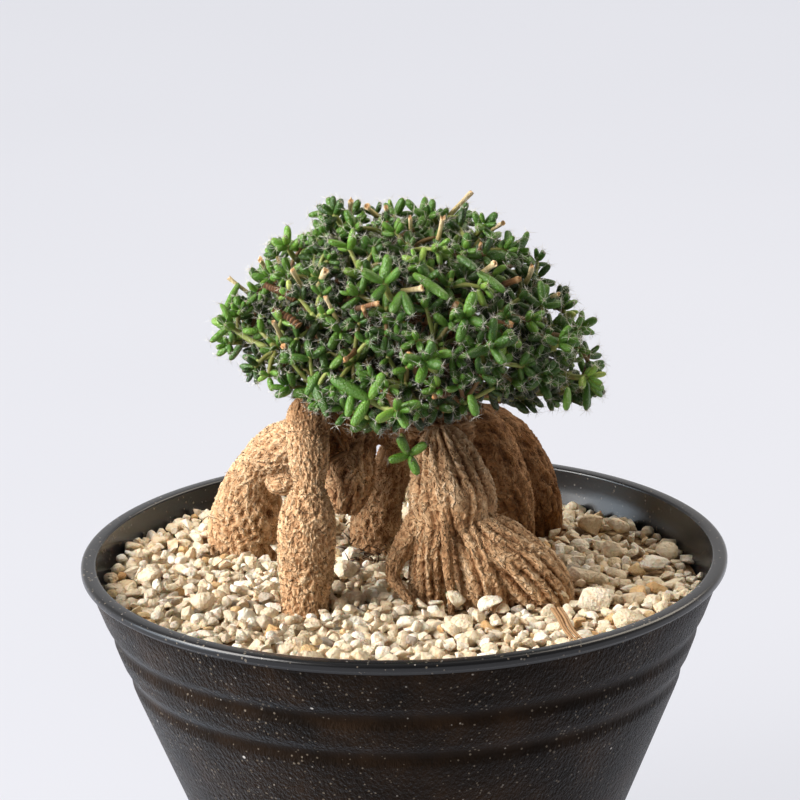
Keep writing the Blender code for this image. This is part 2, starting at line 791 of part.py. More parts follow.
def wood_is_clear(wood, path):
    """Whether the path keeps off the tubers by a leaf's half width and a gap."""
    for point in path:
        found = wood.find_nearest(point * MM)
        if found[3] < (LEAF_HALF_WIDTH + LEAF_GAP) * MM:
            return False
    return True


def make_shoots():
    """The shoots' places, before their leaves grow."""
    shoots = []
    for tip in dome_tips():
        offset = tip - DOME_CENTRE
        base = DOME_CENTRE + offset * STEM_REACH
        shoots.append(Shoot(len(shoots), base, tip))
    shoots.append(Shoot(len(shoots), ROSETTE_BASE, ROSETTE_TIP, levels=1, bend=-1.0))
    return shoots


def draw_out(shell, face, place, axis, half_width):
    """Extrude the face to a square at the place, rolled so that the sides twist least."""
    drawn = bmesh.ops.extrude_discrete_faces(shell, faces=[face])["faces"][0]
    corners = [loop.vert for loop in drawn.loops]
    hub = sum((corner.co for corner in corners), Vector()) / 4

    def twist(ring):
        return sum((point - place - corner.co + hub).length for point, corner in zip(ring, corners))

    rings = []
    for step in range(ROLL_STEPS):
        ring = square_ring(place, axis, half_width, math.tau * step / ROLL_STEPS)
        if (ring[1] - ring[0]).cross(ring[2] - ring[1]).dot(place - hub) < 0:
            ring = ring[::-1]
        rings.append(ring)
    for point, corner in zip(min(rings, key=twist), corners):
        corner.co = point
    return drawn


def side_faces(face):
    """The four faces round a face that was drawn out."""
    return [other for edge in face.edges for other in edge.link_faces if other is not face]


def aim(face, place):
    """How straight the face looks at the place: 1 for square on."""
    return face.normal.dot((place - face.calc_center_median()).normalized())


def best_faces(faces, places):
    """A face for each place, swapped about until none of the limbs or twigs cross."""
    score = [[aim(face, place) for face in faces] for place in places]
    order = list(range(len(faces)))

    def worth(slot):
        return score[slot][order[slot]] if slot < len(places) else 0.0

    improved = True
    while improved:
        improved = False
        for one in range(len(places)):
            for two in range(one + 1, len(faces)):
                before = worth(one) + worth(two)
                order[one], order[two] = order[two], order[one]
                if worth(one) + worth(two) > before + 1e-6:
                    improved = True
                else:
                    order[one], order[two] = order[two], order[one]
    return [faces[index] for index in order[: len(places)]]


def elevation(place):
    offset = place - DOME_CENTRE
    return math.degrees(math.asin(offset.z / offset.length))


def azimuth(place):
    """Angle round the dome from the grouping's start."""
    offset = place - DOME_CENTRE
    return (math.atan2(offset.y, offset.x) - GROUP_START) % math.tau


def reach(place):
    return (place - DOME_CENTRE).length


def grouped(ends):
    """Twig ends in groups of neighbours, one group to a limb.

    The ends close to the centre come first, and then the others in bands of elevation.
    """
    bands = [[end for end in ends if reach(end.place) < NEAR_REACH]]
    for low, high in zip(BANDS, BANDS[1:]):
        far = [end for end in ends if reach(end.place) >= NEAR_REACH]
        bands.append([end for end in far if low <= elevation(end.place) < high])
    groups = []
    for band in bands:
        band.sort(key=lambda end: azimuth(end.place))
        count = math.ceil(len(band) / TWIGS_A_LIMB)
        for index in range(count):
            groups.append(band[index * len(band) // count : (index + 1) * len(band) // count])
    return groups


def fork_of(group):
    """Where a limb divides for its group of twigs."""
    offset = sum((end.place - DOME_CENTRE for end in group), Vector()) / len(group)
    nearest = min(reach(end.place) for end in group)
    return DOME_CENTRE + offset.normalized() * nearest * FORK_SHARE


def crown_hub(shell):
    """A faceted ball at the trunk's top, drawn down to the trunk's foot, and its free faces."""
    made = bmesh.ops.create_cube(shell, size=2.0)["verts"]
    edges = {edge for vertex in made for edge in vertex.link_edges}
    bmesh.ops.subdivide_edges(shell, edges=list(edges), cuts=1, use_grid_fill=True)
    for vertex in shell.verts:
        vertex.co = TRUNK_TOP + vertex.co.normalized() * HUB_RADIUS
    shell.normal_update()
    under = [face for face in shell.faces if face.normal.z < -0.5]
    drawn = bmesh.ops.extrude_face_region(shell, geom=under)["geom"]
    bmesh.ops.delete(shell, geom=under, context="FACES")
    foot = Vector((NECK.x, NECK.y, NECK.z + GAP))
    for part in drawn:
        if isinstance(part, bmesh.types.BMVert):
            flat = Vector((part.co.x - TRUNK_TOP.x, part.co.y - TRUNK_TOP.y, 0.0))
            part.co = foot + flat
    shell.normal_update()
    return [face for face in shell.faces if face.calc_center_median().z > TRUNK_TOP.z - HUB_RADIUS / 2]


def twig_ends(shoots):
    """Where each twig and old stalk ends, and which way it points there."""
    ends = []
    for shoot in shoots:
        axis = shoot.axis(0)
        place = shoot.centres[0] - axis * GAP
        ends.append(TwigEnd(place, axis, TWIG_HALF_WIDTH))
    for tip in STALK_TIPS:
        place = Vector(tip)
        ends.append(TwigEnd(place, (place - DOME_CENTRE).normalized(), STALK_HALF_WIDTH))
    return ends


def make_branches(shoots, crowd):
    """The trunk and limbs, with a twig to each shoot and the old stalks between them."""
    wood_owner = -1
    shell = bmesh.new()
    free = crown_hub(shell)
    groups = grouped(twig_ends(shoots))
    forks = [fork_of(group) for group in groups]
    for group, fork, face in zip(groups, forks, best_faces(free, forks)):
        heading = (fork - face.calc_center_median()).normalized()
        knee = draw_out(shell, face, fork - heading * FORK_HALF_LENGTH, heading, FORK_HALF_WIDTH)
        end = draw_out(shell, knee, fork + heading * FORK_HALF_LENGTH, heading, TWIG_HALF_WIDTH)
        shell.normal_update()
        sockets = [end] + side_faces(end)
        chosen = best_faces(sockets, [target.place for target in group])
        for target, socket in zip(group, chosen):
            start = socket.calc_center_median()
            draw_out(shell, socket, *target)
            crowd.add(along(start, target.place), wood_owner)
    for vertex in shell.verts:
        vertex.co *= MM
    bmesh.ops.recalc_face_normals(shell, faces=shell.faces)
    mesh = bpy.data.meshes.new("branches")
    shell.to_mesh(mesh)
    shell.free()
    return finish(linked("branches", mesh), (0.27, 0.17, 0.09), 0.8)


def clear_scene():
    for obj in list(bpy.data.objects):
        bpy.data.objects.remove(obj)


def main():
    clear_scene()
    make_pot()
    make_soil()
    make_gravel()
    caudex = make_caudex()
    shell = bmesh.new()
    shell.from_mesh(caudex.data)
    wood = BVHTree.FromBMesh(shell)
    shell.free()
    crowd = Crowd()
    shoots = make_shoots()
    make_branches(shoots, crowd)
    for shoot in shoots:
        crowd.add(shoot.stem_samples(), shoot.number)
    for shoot in shoots:
        shoot.grow(crowd, wood)
        spray = solid(f"shoot_{shoot.number:02d}", shoot.points, shoot.faces)
        finish(spray, (0.07, 0.2, 0.06), 0.45)


main()
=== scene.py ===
"""Looks of a tuberous-rooted succulent bonsai in a round pot dressed with pale gravel.

Sizes and places are in millimetres with +Z up and the front at -Y. Meshes are written in metres.
"""

import functools
import math
import random

import bmesh
import bpy
import numpy as np
from mathutils import Matrix, Vector, noise
from mathutils.bvhtree import BVHTree


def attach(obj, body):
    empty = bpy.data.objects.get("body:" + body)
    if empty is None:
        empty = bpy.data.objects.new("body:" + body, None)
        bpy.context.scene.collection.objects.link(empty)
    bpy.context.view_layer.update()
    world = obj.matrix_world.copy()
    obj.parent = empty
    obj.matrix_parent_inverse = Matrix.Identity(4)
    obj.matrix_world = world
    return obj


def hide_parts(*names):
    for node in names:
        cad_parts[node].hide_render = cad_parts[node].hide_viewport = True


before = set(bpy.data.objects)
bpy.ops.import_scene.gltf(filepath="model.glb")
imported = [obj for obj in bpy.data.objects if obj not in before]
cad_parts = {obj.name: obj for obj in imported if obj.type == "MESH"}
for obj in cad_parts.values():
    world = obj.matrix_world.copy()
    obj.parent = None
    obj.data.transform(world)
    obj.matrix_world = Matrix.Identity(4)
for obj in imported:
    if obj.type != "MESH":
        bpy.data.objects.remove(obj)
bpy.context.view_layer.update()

MM = 0.001
BODY = "root"
NOISE_SEED = 4
SEEDS = {
    "slivers": 4, "stones": 3, "gravel": 8, "dome": 5, "marked": 17, "twigs": 21, "stalks": 6, "sprays": 100,
}
# degrees between neighbouring faces up to which they look smooth
SMOOTH_ANGLES = {"pot": 40.0, "stones": 44.0, "bed": 40.0, "stalks": 50.0}
PICTURE_WIDTH = 800

# Camera, fitted to the pot's rim
CAMERA_PLACE = Vector((0.0, -756.5, 350.2))
CAMERA_RIGHT = Vector((0.99979, -0.0055, -0.01949))
CAMERA_UP = Vector((0.02025, 0.28365, 0.95871))
SENSOR = 36.0
LENS = 154.53

# Light: lamps with their place, size, power and colour, and a dim room that is brighter behind
LAMPS = {
    "key": ((-830, -330, 640), 780, 19.4, (1.0, 0.97, 0.93)),
    "fill": ((560, 420, 820), 700, 5.5, (1.0, 0.9, 0.76)),
    "panel": ((-1040, -130, 230), 800, 7.0, (0.76, 0.88, 1.0)),
}
LAMP_TARGET = (0, 0, 110)
ROOM_COLOUR = (1.0, 0.97, 0.96, 1.0)
FRONT_LIGHT = 0.17
BACK_LIGHT = 0.95
HIGH_LIGHT = 0.55  # the share of the room's light that is left high up
HIGH_RANGE = (0.05, 0.4)  # upward part of the direction over which the room dims
FLOOR_GLOW = 0.83
FLOOR_HALF = 3000.0

# Pot
RIM_RADIUS = 75.0
RIM_WIDTH = 3.5
RIM_DROP = 2.0
POT_HEIGHT = 90.0
POT_SEGMENTS = 160
WALL = 1.9
LIP_BOTTOM = 84.0
# height above the foot and outer radius of the plain wall
WALL_LINE = [(88.0, 73.5), (LIP_BOTTOM, 72.4), (60.0, 63.6), (30.0, 51.6), (2.4, 40.4)]
INNER_HEIGHTS = (30.0, 60.0, 78.0, LIP_BOTTOM, 86.5)
GROOVES = [(75.1, 0.95), (64.9, 0.85)]  # height and depth
GROOVE_HALF_WIDTH = 3.1
WALL_PITCH = 1.05
TOP_ROUND = 0.6  # inner top edge of the rim, and outer edge of the foot
BAND_ROUND = 0.9  # outer top edge of the rim
LOW_ROUND = 0.5  # lower edge of the rim band, and inner edge of the foot
CHAMFER = 0.3
FOOT_RADIUS = 39.2
FOOT_WIDTH = 5.2
FOOT_RISE = 1.6
FLOOR_TOP = 3.6
CENTRE_HOLE_RADIUS = 4.0
DRAIN_RADIUS = 3.0
DRAIN_CIRCLE = 20.0
DRAIN_COUNT = 4
ROUND_STEPS = 4
PLAIN_BAND = 0.8  # the smooth plastic under the rim
SHEEN_TINT = (0.7, 0.84, 1.0, 1.0)

# Gravel
GRAVEL_LEVEL = 84.0
GRAVEL_TILT = -0.025
BED_BOTTOM = 74.2
BED_TOP = 80.6
BED_CELL = 0.5
BED_SEGMENTS = 96
BED_GAP = 0.6  # between the bed and the pot's wall
BED_SHARES = (1.0, 0.85, 0.7, 0.55, 0.4, 0.25, 0.1)
STONE_TRIES = 5200
STONE_PLACES = 6
STONE_SHAPES = 16
STONE_CORNERS = (10, 13)
LUMP_SHAPES = 6
LUMP_CORNERS = 22
LUMP_SIZE = 2.8
LUMP_RISE = 1.7
STONE_FLATNESS = (0.6, 0.85)  # half height over half size
LUMP_FLATNESS = (0.62, 0.75)
STONE_WIDTHS = ((0.9, 1.2), (0.7, 0.95))  # along and across, over the half size
STONE_LEAN = 0.25
STONE_TOP = (0.2, 2.2)  # how far a stone's top may stand above the gravel's level
STONE_SIZES = [(1.2, 0.15), (1.6, 0.3), (2.05, 0.33), (2.6, 0.17), (3.3, 0.05)]  # half size and share
# pixels and half sizes of the large stones on the right
BIG_STONES = [
    ((596, 597), 4.4), ((629, 617), 3.8), ((583, 574), 3.3), ((654, 562), 3.2), ((592, 522), 3.4),
    ((618, 524), 3.0), ((668, 548), 3.3), ((556, 594), 2.8), ((612, 548), 3.2), ((205, 610), 3.4),
    ((352, 560), 3.0), ((345, 575), 3.2), ((150, 585), 3.0), ((490, 606), 2.8), ((455, 602), 2.6),
]

# Crown of shoots
DOME_CENTRE = Vector((1.0, 5.0, 126.0))
DOME_REACH = Vector((46.5, 42.5, 46.0))
RIGHT_EDGE = 1.0
LEFT_EDGE_RISE = 17.0
SIDE_EDGE_RISE = 20.0
FRONT_LIFT = 7.0
DOME_SHADE = (0.97, 0.77)  # shares of the dome's size between which shade is painted on the leaves and bristles inside it
SHADE_HEIGHTS = (121.0, 127.0)  # heights over which the painted shade comes in; the low edge is left without it
DOME_CANDIDATES = 50
TIP_SPACING = 12.4
REACH_RANGE = (0.94, 1.02)
STEM_REACH = 0.52
STEM_LEVELS = 5
STEM_BEND = 2.0
LEVEL_PITCH = 2.8
SHORTEST_BARE = 1.5
TIP_LEAF_REACH = 5.0
ROLL_A_SHOOT = 0.4
STEM_RADII = (0.75, 0.55)
MARKED_RADII = (0.8, 0.6)
PAIR_LEAF = 4.2
PAIR_GROWTH = 0.2  # how much longer the leaves are a level further up
PAIR_RISE = 36.0  # degrees
ROSETTE_LEAF = (4.2, 5.4)
ROSETTE_DROP = 0.8  # how far a rosette's lowest pair is below the tip

# Side shoots, each grown towards an empty place
SIDE_SHOOTS = 9
SIDE_STARTS = (0.25, 0.45, 0.65, 0.85)
SIDE_TURNS = 9
SIDE_RADII = (0.6, 0.45)
SIDE_LEAF = (2.7, 4.7)
SIDE_LENGTH = (5.0, 9.5)
SIDE_BOW = 0.8
SIDE_LEAN = (35, 70)  # degrees off the stem
SIDE_REACH = (0.62, 0.955)  # how far from the dome's centre a side shoot may end
SIDE_SPACING = 4.1

# Wood and dry stalks
TRUNK_RADII = (4.0, 3.4)
LIMB_RADII = (1.7, 0.75)
DRY_TWIGS = 5
DRY_TWIG_RADII = (0.6, 0.35)
DRY_TWIG_LENGTH = (4.5, 9.0)
DEAD_LEAF = (2.2, 4.0)
STALK_SIDES = 10
STALK_RADIUS = (0.55, 0.8)
STUB_RADIUS = (0.6, 1.1)
STUB_LENGTH = (3.5, 6.0)
# how deep the end is hollow, or how far it is raised where this is below 0
STRAW_HOLLOW = 0.05
STUB_HOLLOW = -0.3
# a tone below 0.5 is straw and one above it is wood
STRAW_TONE = (0.0, 0.3)
STUB_TONE = (0.7, 1.0)
RING_PITCH = 0.85
NECK = Vector((-4.0, 7.0, 123.6))
TRUNK_TOP = Vector((-1.0, 6.5, 131.5))

# Shoots and stalks placed from the picture
OUTLINE_TIPS = [
    (-43.0, 2.0, 144.0), (-37.0, 11.0, 151.5), (-30.0, 3.0, 160.0), (-17.5, 9.0, 172.5),
    (-3.0, 4.0, 172.0), (10.5, 10.0, 173.0), (25.0, 6.0, 165.0), (35.5, 11.0, 152.0), (44.5, 3.0, 142.0),
    (48.0, 8.0, 125.5), (35.0, -5.0, 127.5), (-30.0, -4.0, 137.5),
]
FRINGE_TIPS = [
    (-19.0, -14.0, 137.0), (-9.0, -20.0, 135.0), (5.0, -21.0, 131.5), (17.0, -17.0, 134.0),
    (26.0, 16.0, 124.0), (8.0, 28.0, 125.0), (-12.0, 28.0, 126.0),
]
# shares of the dome's size at which the base and the tip of each kind lie, or between which a stub ends
SHOOT_REACH = (0.86, 1.0)
LEAF_REACH = (0.97, 1.02)
STRAW_REACH = (0.88, 1.03)
RINGED_REACH = (0.93, 0.99)
STUB_REACH = (0.93, 0.98)
# pixels of the base and the tip, the leaves' length and the number of leaf pairs
MARKED_SHOOTS = [
    ((268, 348), (230, 326), 6.0, 3), ((352, 236), (334, 214), 5.2, 3), ((560, 372), (588, 377), 4.8, 3),
    ((368, 399), (398, 411), 5.0, 3), ((480, 352), (492, 346), 6.4, 3), ((392, 300), (384, 282), 6.6, 2),
    ((440, 372), (425, 362), 5.8, 3), ((300, 262), (287, 246), 4.6, 3), ((470, 238), (484, 226), 4.4, 3),
    ((545, 350), (560, 342), 5.4, 3), ((470, 300), (466, 318), 5.6, 3),
]
# pixels of the base and the tip of single leaves, and their half widths
MARKED_LEAVES = [
    ((238, 284), (219, 317), 1.2), ((368, 399), (330, 378), 1.5), ((370, 399), (383, 373), 1.2),
    ((368, 400), (352, 426), 1.25), ((352, 393), (347, 417), 1.0), ((309, 377), (325, 411), 1.2),
    ((319, 372), (305, 395), 1.0), ((414, 274), (449, 297), 1.3), ((478, 272), (506, 290), 1.25),
    ((458, 256), (478, 268), 1.1), ((385, 288), (384, 264), 1.2), ((402, 292), (392, 312), 1.2),
    ((402, 292), (412, 314), 1.2), ((568, 388), (568, 410), 1.1), ((586, 378), (604, 396), 1.1),
    ((586, 378), (589, 410), 1.1), ((590, 376), (594, 366), 1.0), ((470, 395), (477, 416), 1.15),
    ((509, 248), (509, 230), 1.2), ((543, 303), (542, 280), 1.1), ((334, 212), (308, 213), 1.2),
    ((334, 212), (328, 197), 1.0),
]
# pixels of the base and the tip of the old flower stalks
STRAWS = [
    ((441, 225), (472, 192)), ((437, 245), (443, 217)), ((351, 223), (351, 200)),
    ((380, 218), (367, 206)), ((386, 221), (386, 207)), ((410, 233), (410, 217)),
    ((271, 279), (260, 259)), ((303, 287), (292, 269)), ((251, 295), (229, 278)),
    ((319, 285), (326, 270)), ((338, 322), (325, 296)), ((283, 341), (273, 321)),
    ((402, 291), (423, 288)), ((479, 275), (495, 263)), ((526, 282), (532, 266)),
    ((546, 299), (559, 294)), ((490, 232), (503, 223)),
]
# pixels of the broken ends of woody twigs
STUBS = [
    (363, 307), (378, 303), (519, 279), (481, 244), (409, 354), (433, 397),
    (383, 389), (511, 325), (457, 303), (283, 346), (516, 341), (345, 360),
]
# pixels of the base and the tip of old twigs with rings of leaf scars
RINGED_TWIGS = [((296, 300), (266, 284)), ((299, 326), (274, 308))]
# the lone rosette: its stem, and the pixels of its heart and its leaves' ends
LONE_HEART = (409, 455)
LONE_LEAVES = [(398, 436), (427, 443), (388, 461), (418, 475)]
LONE_DEPTH = -17.0
ROSETTE_BASE = Vector((0.0, -5.0, 119.5))
ROSETTE_TIP = Vector((1.2, -15.0, 115.2))

# Leaves: places and girths along one, each as a share of the length or the half width
LEAF_SHARES = np.array([0.0, 0.09, 0.3, 0.6, 0.84, 0.96])
LEAF_GIRTHS = np.array([0.45, 0.7, 0.94, 1.0, 0.84, 0.5])
LEAF_SIDES = 6
LEAF_ANGLES = np.arange(LEAF_SIDES) * math.tau / LEAF_SIDES
# pairs of a rosette: size, rise in degrees and height on the stem
ROSETTE_PLAN = [(1.0, 20.0, 0.0), (0.9, 40.0, 0.9), (0.66, 60.0, 1.6), (0.4, 74.0, 2.1)]
WIDEST_LEAF = 1.22  # half width
LEAF_THICKNESS = (0.68, 0.92)  # of the upper and lower half, over the half width
BRISTLE_RADIUS = 0.046
BRISTLE_LENGTH = (1.3, 2.6)
BRISTLE_FLARE = (48, 88)  # degrees off the leaf's end
BRISTLE_FACES = [[0, 2, 1], [0, 1, 3], [1, 2, 3], [2, 0, 3]]
LEAF, BRISTLE, STEM = range(3)

# Tubers: stations of x, y, z, half width and half depth
LEFT_BACK = [
    (-38.6, 26.0, 77.0, 8.1, 7.8), (-38.4, 26.0, 86.0, 8.7, 8.4), (-37.1, 25.0, 92.5, 8.5, 8.2),
    (-36.1, 23.0, 98.3, 6.8, 6.8), (-34.8, 20.0, 102.8, 5.4, 5.6), (-32.4, 15.0, 108.2, 4.6, 5.0),
    (-28.2, 8.0, 113.2, 5.4, 5.4), (-23.9, 1.0, 117.2, 4.8, 4.8), (-21.2, -3.4, 120.2, 3.0, 3.0),
]
SIDE_LOBE = [
    (-31.8, 10.4, 104.8, 1.2, 1.2), (-29.1, 9.4, 103.8, 2.7, 2.8), (-26.3, 8.5, 105.3, 3.2, 3.2),
    (-24.2, 6.0, 109.3, 2.4, 2.4),
]
LEFT_FRONT = [
    (-22.9, -18.0, 77.0, 4.9, 4.9), (-22.7, -18.5, 84.8, 5.5, 5.3), (-22.4, -17.5, 91.6, 6.3, 6.1),
    (-22.1, -16.5, 98.5, 6.9, 6.5), (-21.8, -15.0, 104.0, 6.5, 6.2), (-21.5, -13.2, 107.8, 4.3, 4.5),
    (-21.3, -12.0, 110.2, 3.1, 3.4), (-21.3, -10.5, 112.8, 3.9, 4.0), (-21.3, -8.6, 116.2, 4.6, 4.5),
    (-21.5, -6.0, 119.6, 4.8, 4.7), (-21.2, -4.0, 123.0, 5.5, 5.0), (-20.4, -2.6, 125.2, 5.0, 4.6),
    (-19.4, -1.6, 127.2, 3.2, 3.0),
]
KNOT = [
    (-8.6, 6.5, 117.0, 3.2, 3.2), (-11.0, 3.0, 112.4, 5.0, 4.8), (-12.3, 1.0, 107.0, 5.8, 5.4),
    (-13.0, 0.0, 102.6, 4.8, 4.6), (-13.4, 0.0, 99.6, 2.4, 2.4),
]
KNOT_SHOULDER = [
    (-19.5, 0.5, 126.4, 2.6, 2.6), (-17.6, 1.0, 123.6, 4.5, 4.4), (-15.8, 2.0, 119.0, 4.6, 4.6),
    (-14.4, 2.6, 113.5, 4.4, 4.4), (-13.6, 2.4, 108.0, 3.6, 3.6), (-13.2, 1.6, 104.0, 2.4, 2.4),
]
MIDDLE_BACK = [
    (-7.1, 21.0, 77.0, 4.9, 4.9), (-7.0, 21.0, 86.0, 5.7, 5.6), (-6.4, 20.0, 92.0, 6.2, 5.8),
    (-4.9, 18.0, 98.0, 5.5, 5.2), (-2.4, 15.0, 105.0, 4.6, 4.6), (0.1, 12.0, 112.0, 4.4, 4.4),
    (1.0, 9.0, 116.5, 3.6, 3.6),
]
MIDDLE_BODY = [
    (8.6, 0.4, 119.0, 2.8, 3.0), (9.0, -0.2, 116.6, 5.0, 5.0), (9.8, -1.6, 112.6, 7.2, 7.2),
    (10.6, -3.2, 108.6, 9.3, 8.6), (11.5, -5.0, 103.4, 10.5, 9.8), (11.6, -6.4, 99.4, 9.0, 9.0),
    (11.8, -7.0, 96.0, 6.0, 6.4),
]
OUTER_FOOT = [
    (13.0, -7.4, 101.4, 4.0, 4.0), (18.0, -9.4, 95.8, 6.6, 6.4), (23.4, -11.2, 91.6, 7.4, 7.2),
    (28.4, -12.0, 87.4, 7.5, 7.2), (32.0, -12.2, 83.0, 6.8, 6.6), (33.8, -12.2, 78.6, 4.8, 4.8),
]
INNER_FOOT = [
    (14.0, -7.6, 100.4, 5.6, 5.6), (16.6, -10.2, 93.8, 6.8, 6.6), (18.8, -12.0, 87.6, 7.2, 6.8),
    (19.6, -12.4, 82.0, 7.0, 6.6), (19.6, -12.4, 77.0, 6.0, 6.0),
]
LEFT_FOOT = [
    (9.0, -6.4, 101.6, 6.4, 6.2), (7.0, -9.0, 95.6, 5.3, 5.2), (6.0, -10.6, 90.0, 4.6, 4.6),
    (5.5, -11.2, 84.0, 4.4, 4.4), (5.4, -11.2, 77.0, 4.0, 4.0),
]
HANGING_ROOT = [
    (9.4, -14.6, 101.0, 0.9, 0.9), (9.8, -16.6, 95.6, 1.3, 1.2), (10.0, -17.4, 90.6, 1.5, 1.2),
    (10.5, -17.8, 86.0, 1.0, 0.9), (10.6, -17.8, 79.0, 0.7, 0.7),
]
SIDE_ROOT = [
    (6.2, -6.0, 101.6, 3.6, 3.6), (3.2, -8.0, 98.4, 3.4, 3.2), (0.6, -10.2, 95.2, 2.8, 2.6),
    (-1.9, -12.6, 91.8, 2.1, 2.0), (-2.6, -14.8, 88.6, 1.5, 1.5), (-1.0, -16.8, 86.2, 1.25, 1.2),
    (1.2, -18.6, 84.0, 1.0, 1.0), (2.6, -19.6, 81.4, 0.7, 0.7),
]
RIGHT_INNER = [
    (24.0, 26.6, 77.0, 6.7, 6.9), (23.6, 26.2, 90.0, 8.2, 8.0), (21.8, 25.0, 98.6, 8.0, 8.2),
    (19.6, 23.6, 106.0, 7.9, 8.0), (16.8, 21.4, 112.0, 7.0, 7.0), (13.8, 18.6, 115.6, 5.2, 5.2),
    (11.4, 15.6, 117.4, 3.0, 3.0),
]
RIGHT_OUTER = [
    (32.8, 37.0, 77.0, 5.1, 5.3), (32.6, 36.6, 86.0, 5.6, 6.0), (31.3, 35.5, 91.6, 6.1, 6.6),
    (29.0, 33.6, 98.0, 6.5, 6.9), (25.6, 30.6, 105.2, 6.4, 6.6), (21.2, 27.0, 111.0, 5.6, 5.6),
    (16.6, 23.6, 114.6, 3.5, 3.5),
]
CROWN = [
    (-22.0, -2.6, 123.2, 3.0, 3.0), (-19.6, -0.6, 122.6, 4.0, 3.8), (-15.2, 4.0, 119.8, 4.4, 4.3),
    (-9.6, 7.4, 118.6, 4.6, 4.5), (-3.8, 8.4, 118.0, 4.8, 4.6), (3.2, 8.0, 116.4, 5.0, 5.0),
    (9.4, 8.6, 115.6, 5.6, 5.2), (14.0, 13.0, 115.0, 4.6, 4.6),
]
NECK_STATIONS = [
    (-4.0, 8.0, 115.0, 3.6, 3.6), (-4.0, 7.0, 120.0, 3.9, 3.9), (-4.0, 7.0, 123.6, 3.6, 3.6),
]
# stations, ridge spacing, slant of the crossing ridges, depth of ridges and of crumples, and tone with
# painted shade (low under the dome and at the back right)
TUBERS = {
    "left_back": (LEFT_BACK, 2.5, 0.36, 0.75, 0.5, 0.95),
    "side_lobe": (SIDE_LOBE, 1.8, 0.2, 0.4, 0.45, 0.8),
    "left_front": (LEFT_FRONT, 2.3, 0.34, 0.3, 0.55, 1.0),
    "knot": (KNOT, 2.8, 0.2, 0.9, 0.5, 0.5),
    "knot_shoulder": (KNOT_SHOULDER, 2.2, 0.12, 0.8, 0.8, 0.25),
    "middle_back": (MIDDLE_BACK, 3.0, 0.3, 0.6, 0.5, 0.55),
    "middle_body": (MIDDLE_BODY, 3.0, 0.05, 1.5, 0.5, 0.72),
    "outer_foot": (OUTER_FOOT, 2.8, 0.07, 1.35, 0.5, 0.68),
    "inner_foot": (INNER_FOOT, 2.8, 0.07, 1.35, 0.5, 0.7),
    "left_foot": (LEFT_FOOT, 2.6, 0.09, 1.1, 0.55, 0.65),
    "hanging_root": (HANGING_ROOT, 1.4, 0.12, 0.3, 0.3, 0.55),
    "side_root": (SIDE_ROOT, 1.7, 0.14, 0.5, 0.5, 0.6),
    "right_inner": (RIGHT_INNER, 3.4, 0.3, 0.6, 0.4, 0.22),
    "right_outer": (RIGHT_OUTER, 3.2, 0.3, 0.6, 0.4, 0.18),
    "crown": (CROWN, 2.4, 0.2, 0.8, 0.6, 0.25),
    "neck": (NECK_STATIONS, 2.2, 0.2, 0.4, 0.4, 0.2),
}
MIDDLE_MEMBERS = ["middle_body", "outer_foot", "inner_foot", "left_foot", "hanging_root", "side_root"]
# the size of the skin's squares, and the tubers in it
CAUDEX_PIECES = {
    "caudex_left_back": (0.40, ["left_back", "side_lobe"]),
    "caudex_left_front": (0.27, ["left_front"]),
    "caudex_crown": (0.42, ["knot", "knot_shoulder", "middle_back", "crown", "neck"]),
    "caudex_middle": (0.31, MIDDLE_MEMBERS),
    "caudex_right": (0.45, ["right_inner", "right_outer"]),
}
# slivers of bark standing off each piece
SLIVERS = {
    "caudex_left_back": 700,
    "caudex_left_front": 1500,
    "caudex_crown": 900,
    "caudex_middle": 2600,
    "caudex_right": 400,
}
SLIVER_LENGTH = (0.7, 1.9)
SLIVER_WIDTH = (0.16, 0.4)
FIBRE_STRETCH = 1.7
MEAN_RIDGE = 0.6
MEAN_CRUMPLE = 0.4
STRAIGHT_SWAY = 1.7
CROSSED_SWAY = 2.6
RIDGE_STRETCH = 1.75  # how much longer the ridges' wander is than the crumples
CRUMPLE_SHARE = 0.52  # size of the crumples over the ridges' spacing
CRUMPLE_WIDTH = 0.2
# the bark round this place, the left front tuber's head, is darkened: partly its own dark fibres, partly
# painted shade under the crown of shoots
DARK_CAP = (-18.6, -3.8, 127.0)
DARK_CAP_REACH = (5.4, 10.6)
BARK_HOLE = (10.2, -13.0, 108.4)
BARK_HOLE_REACH = (0.45, 0.95)
# pixels of the root and the end of the torn flakes beside the big tuber's notch
FLAKES = [
    ((492, 519), (510, 511)), ((490, 516), (503, 508)), ((496, 521), (514, 520)), ((488, 520), (497, 512)),
]
FLAKE_DEPTH = -8.0
# pixels of the ends of the dark strands between the left tuber's head and the knot
STRANDS = [
    ((321, 413), (345, 451)), ((328, 408), (350, 437)), ((348, 451), (322, 468)), ((336, 403), (354, 424)),
]
STRAND_DEPTH = -5.0
LITTER_COUNT = 130
LITTER_SPAN = (343, 402, 518, 562)  # pixels
LITTER_HEIGHTS = (85.0, 86.6)
DRY_ROOT_HEIGHT = 86.4
DRY_ROOT = [(556, 609), (562, 618), (567, 628), (574, 637), (581, 642)]  # pixels
TUBER_SIDES = 40
STEPS_A_STATION = 8
POINTS_AT_ONCE = 20000
SKIN_SMOOTHING = 6
CROSSING_BLEND = 0.12  # over how much of a half size two tubers' wrinkles blend
CAP_DARKNESS = 0.75
HOLE_DEPTH = 0.7


def rgb(red, green, blue):
    """A linear colour from a picture's 0 to 255 values."""
    linear = []
    for value in (red, green, blue):
        share = value / 255
        linear.append(share / 12.92 if share <= 0.04045 else ((share + 0.055) / 1.055) ** 2.4)
    return (*linear, 1.0)


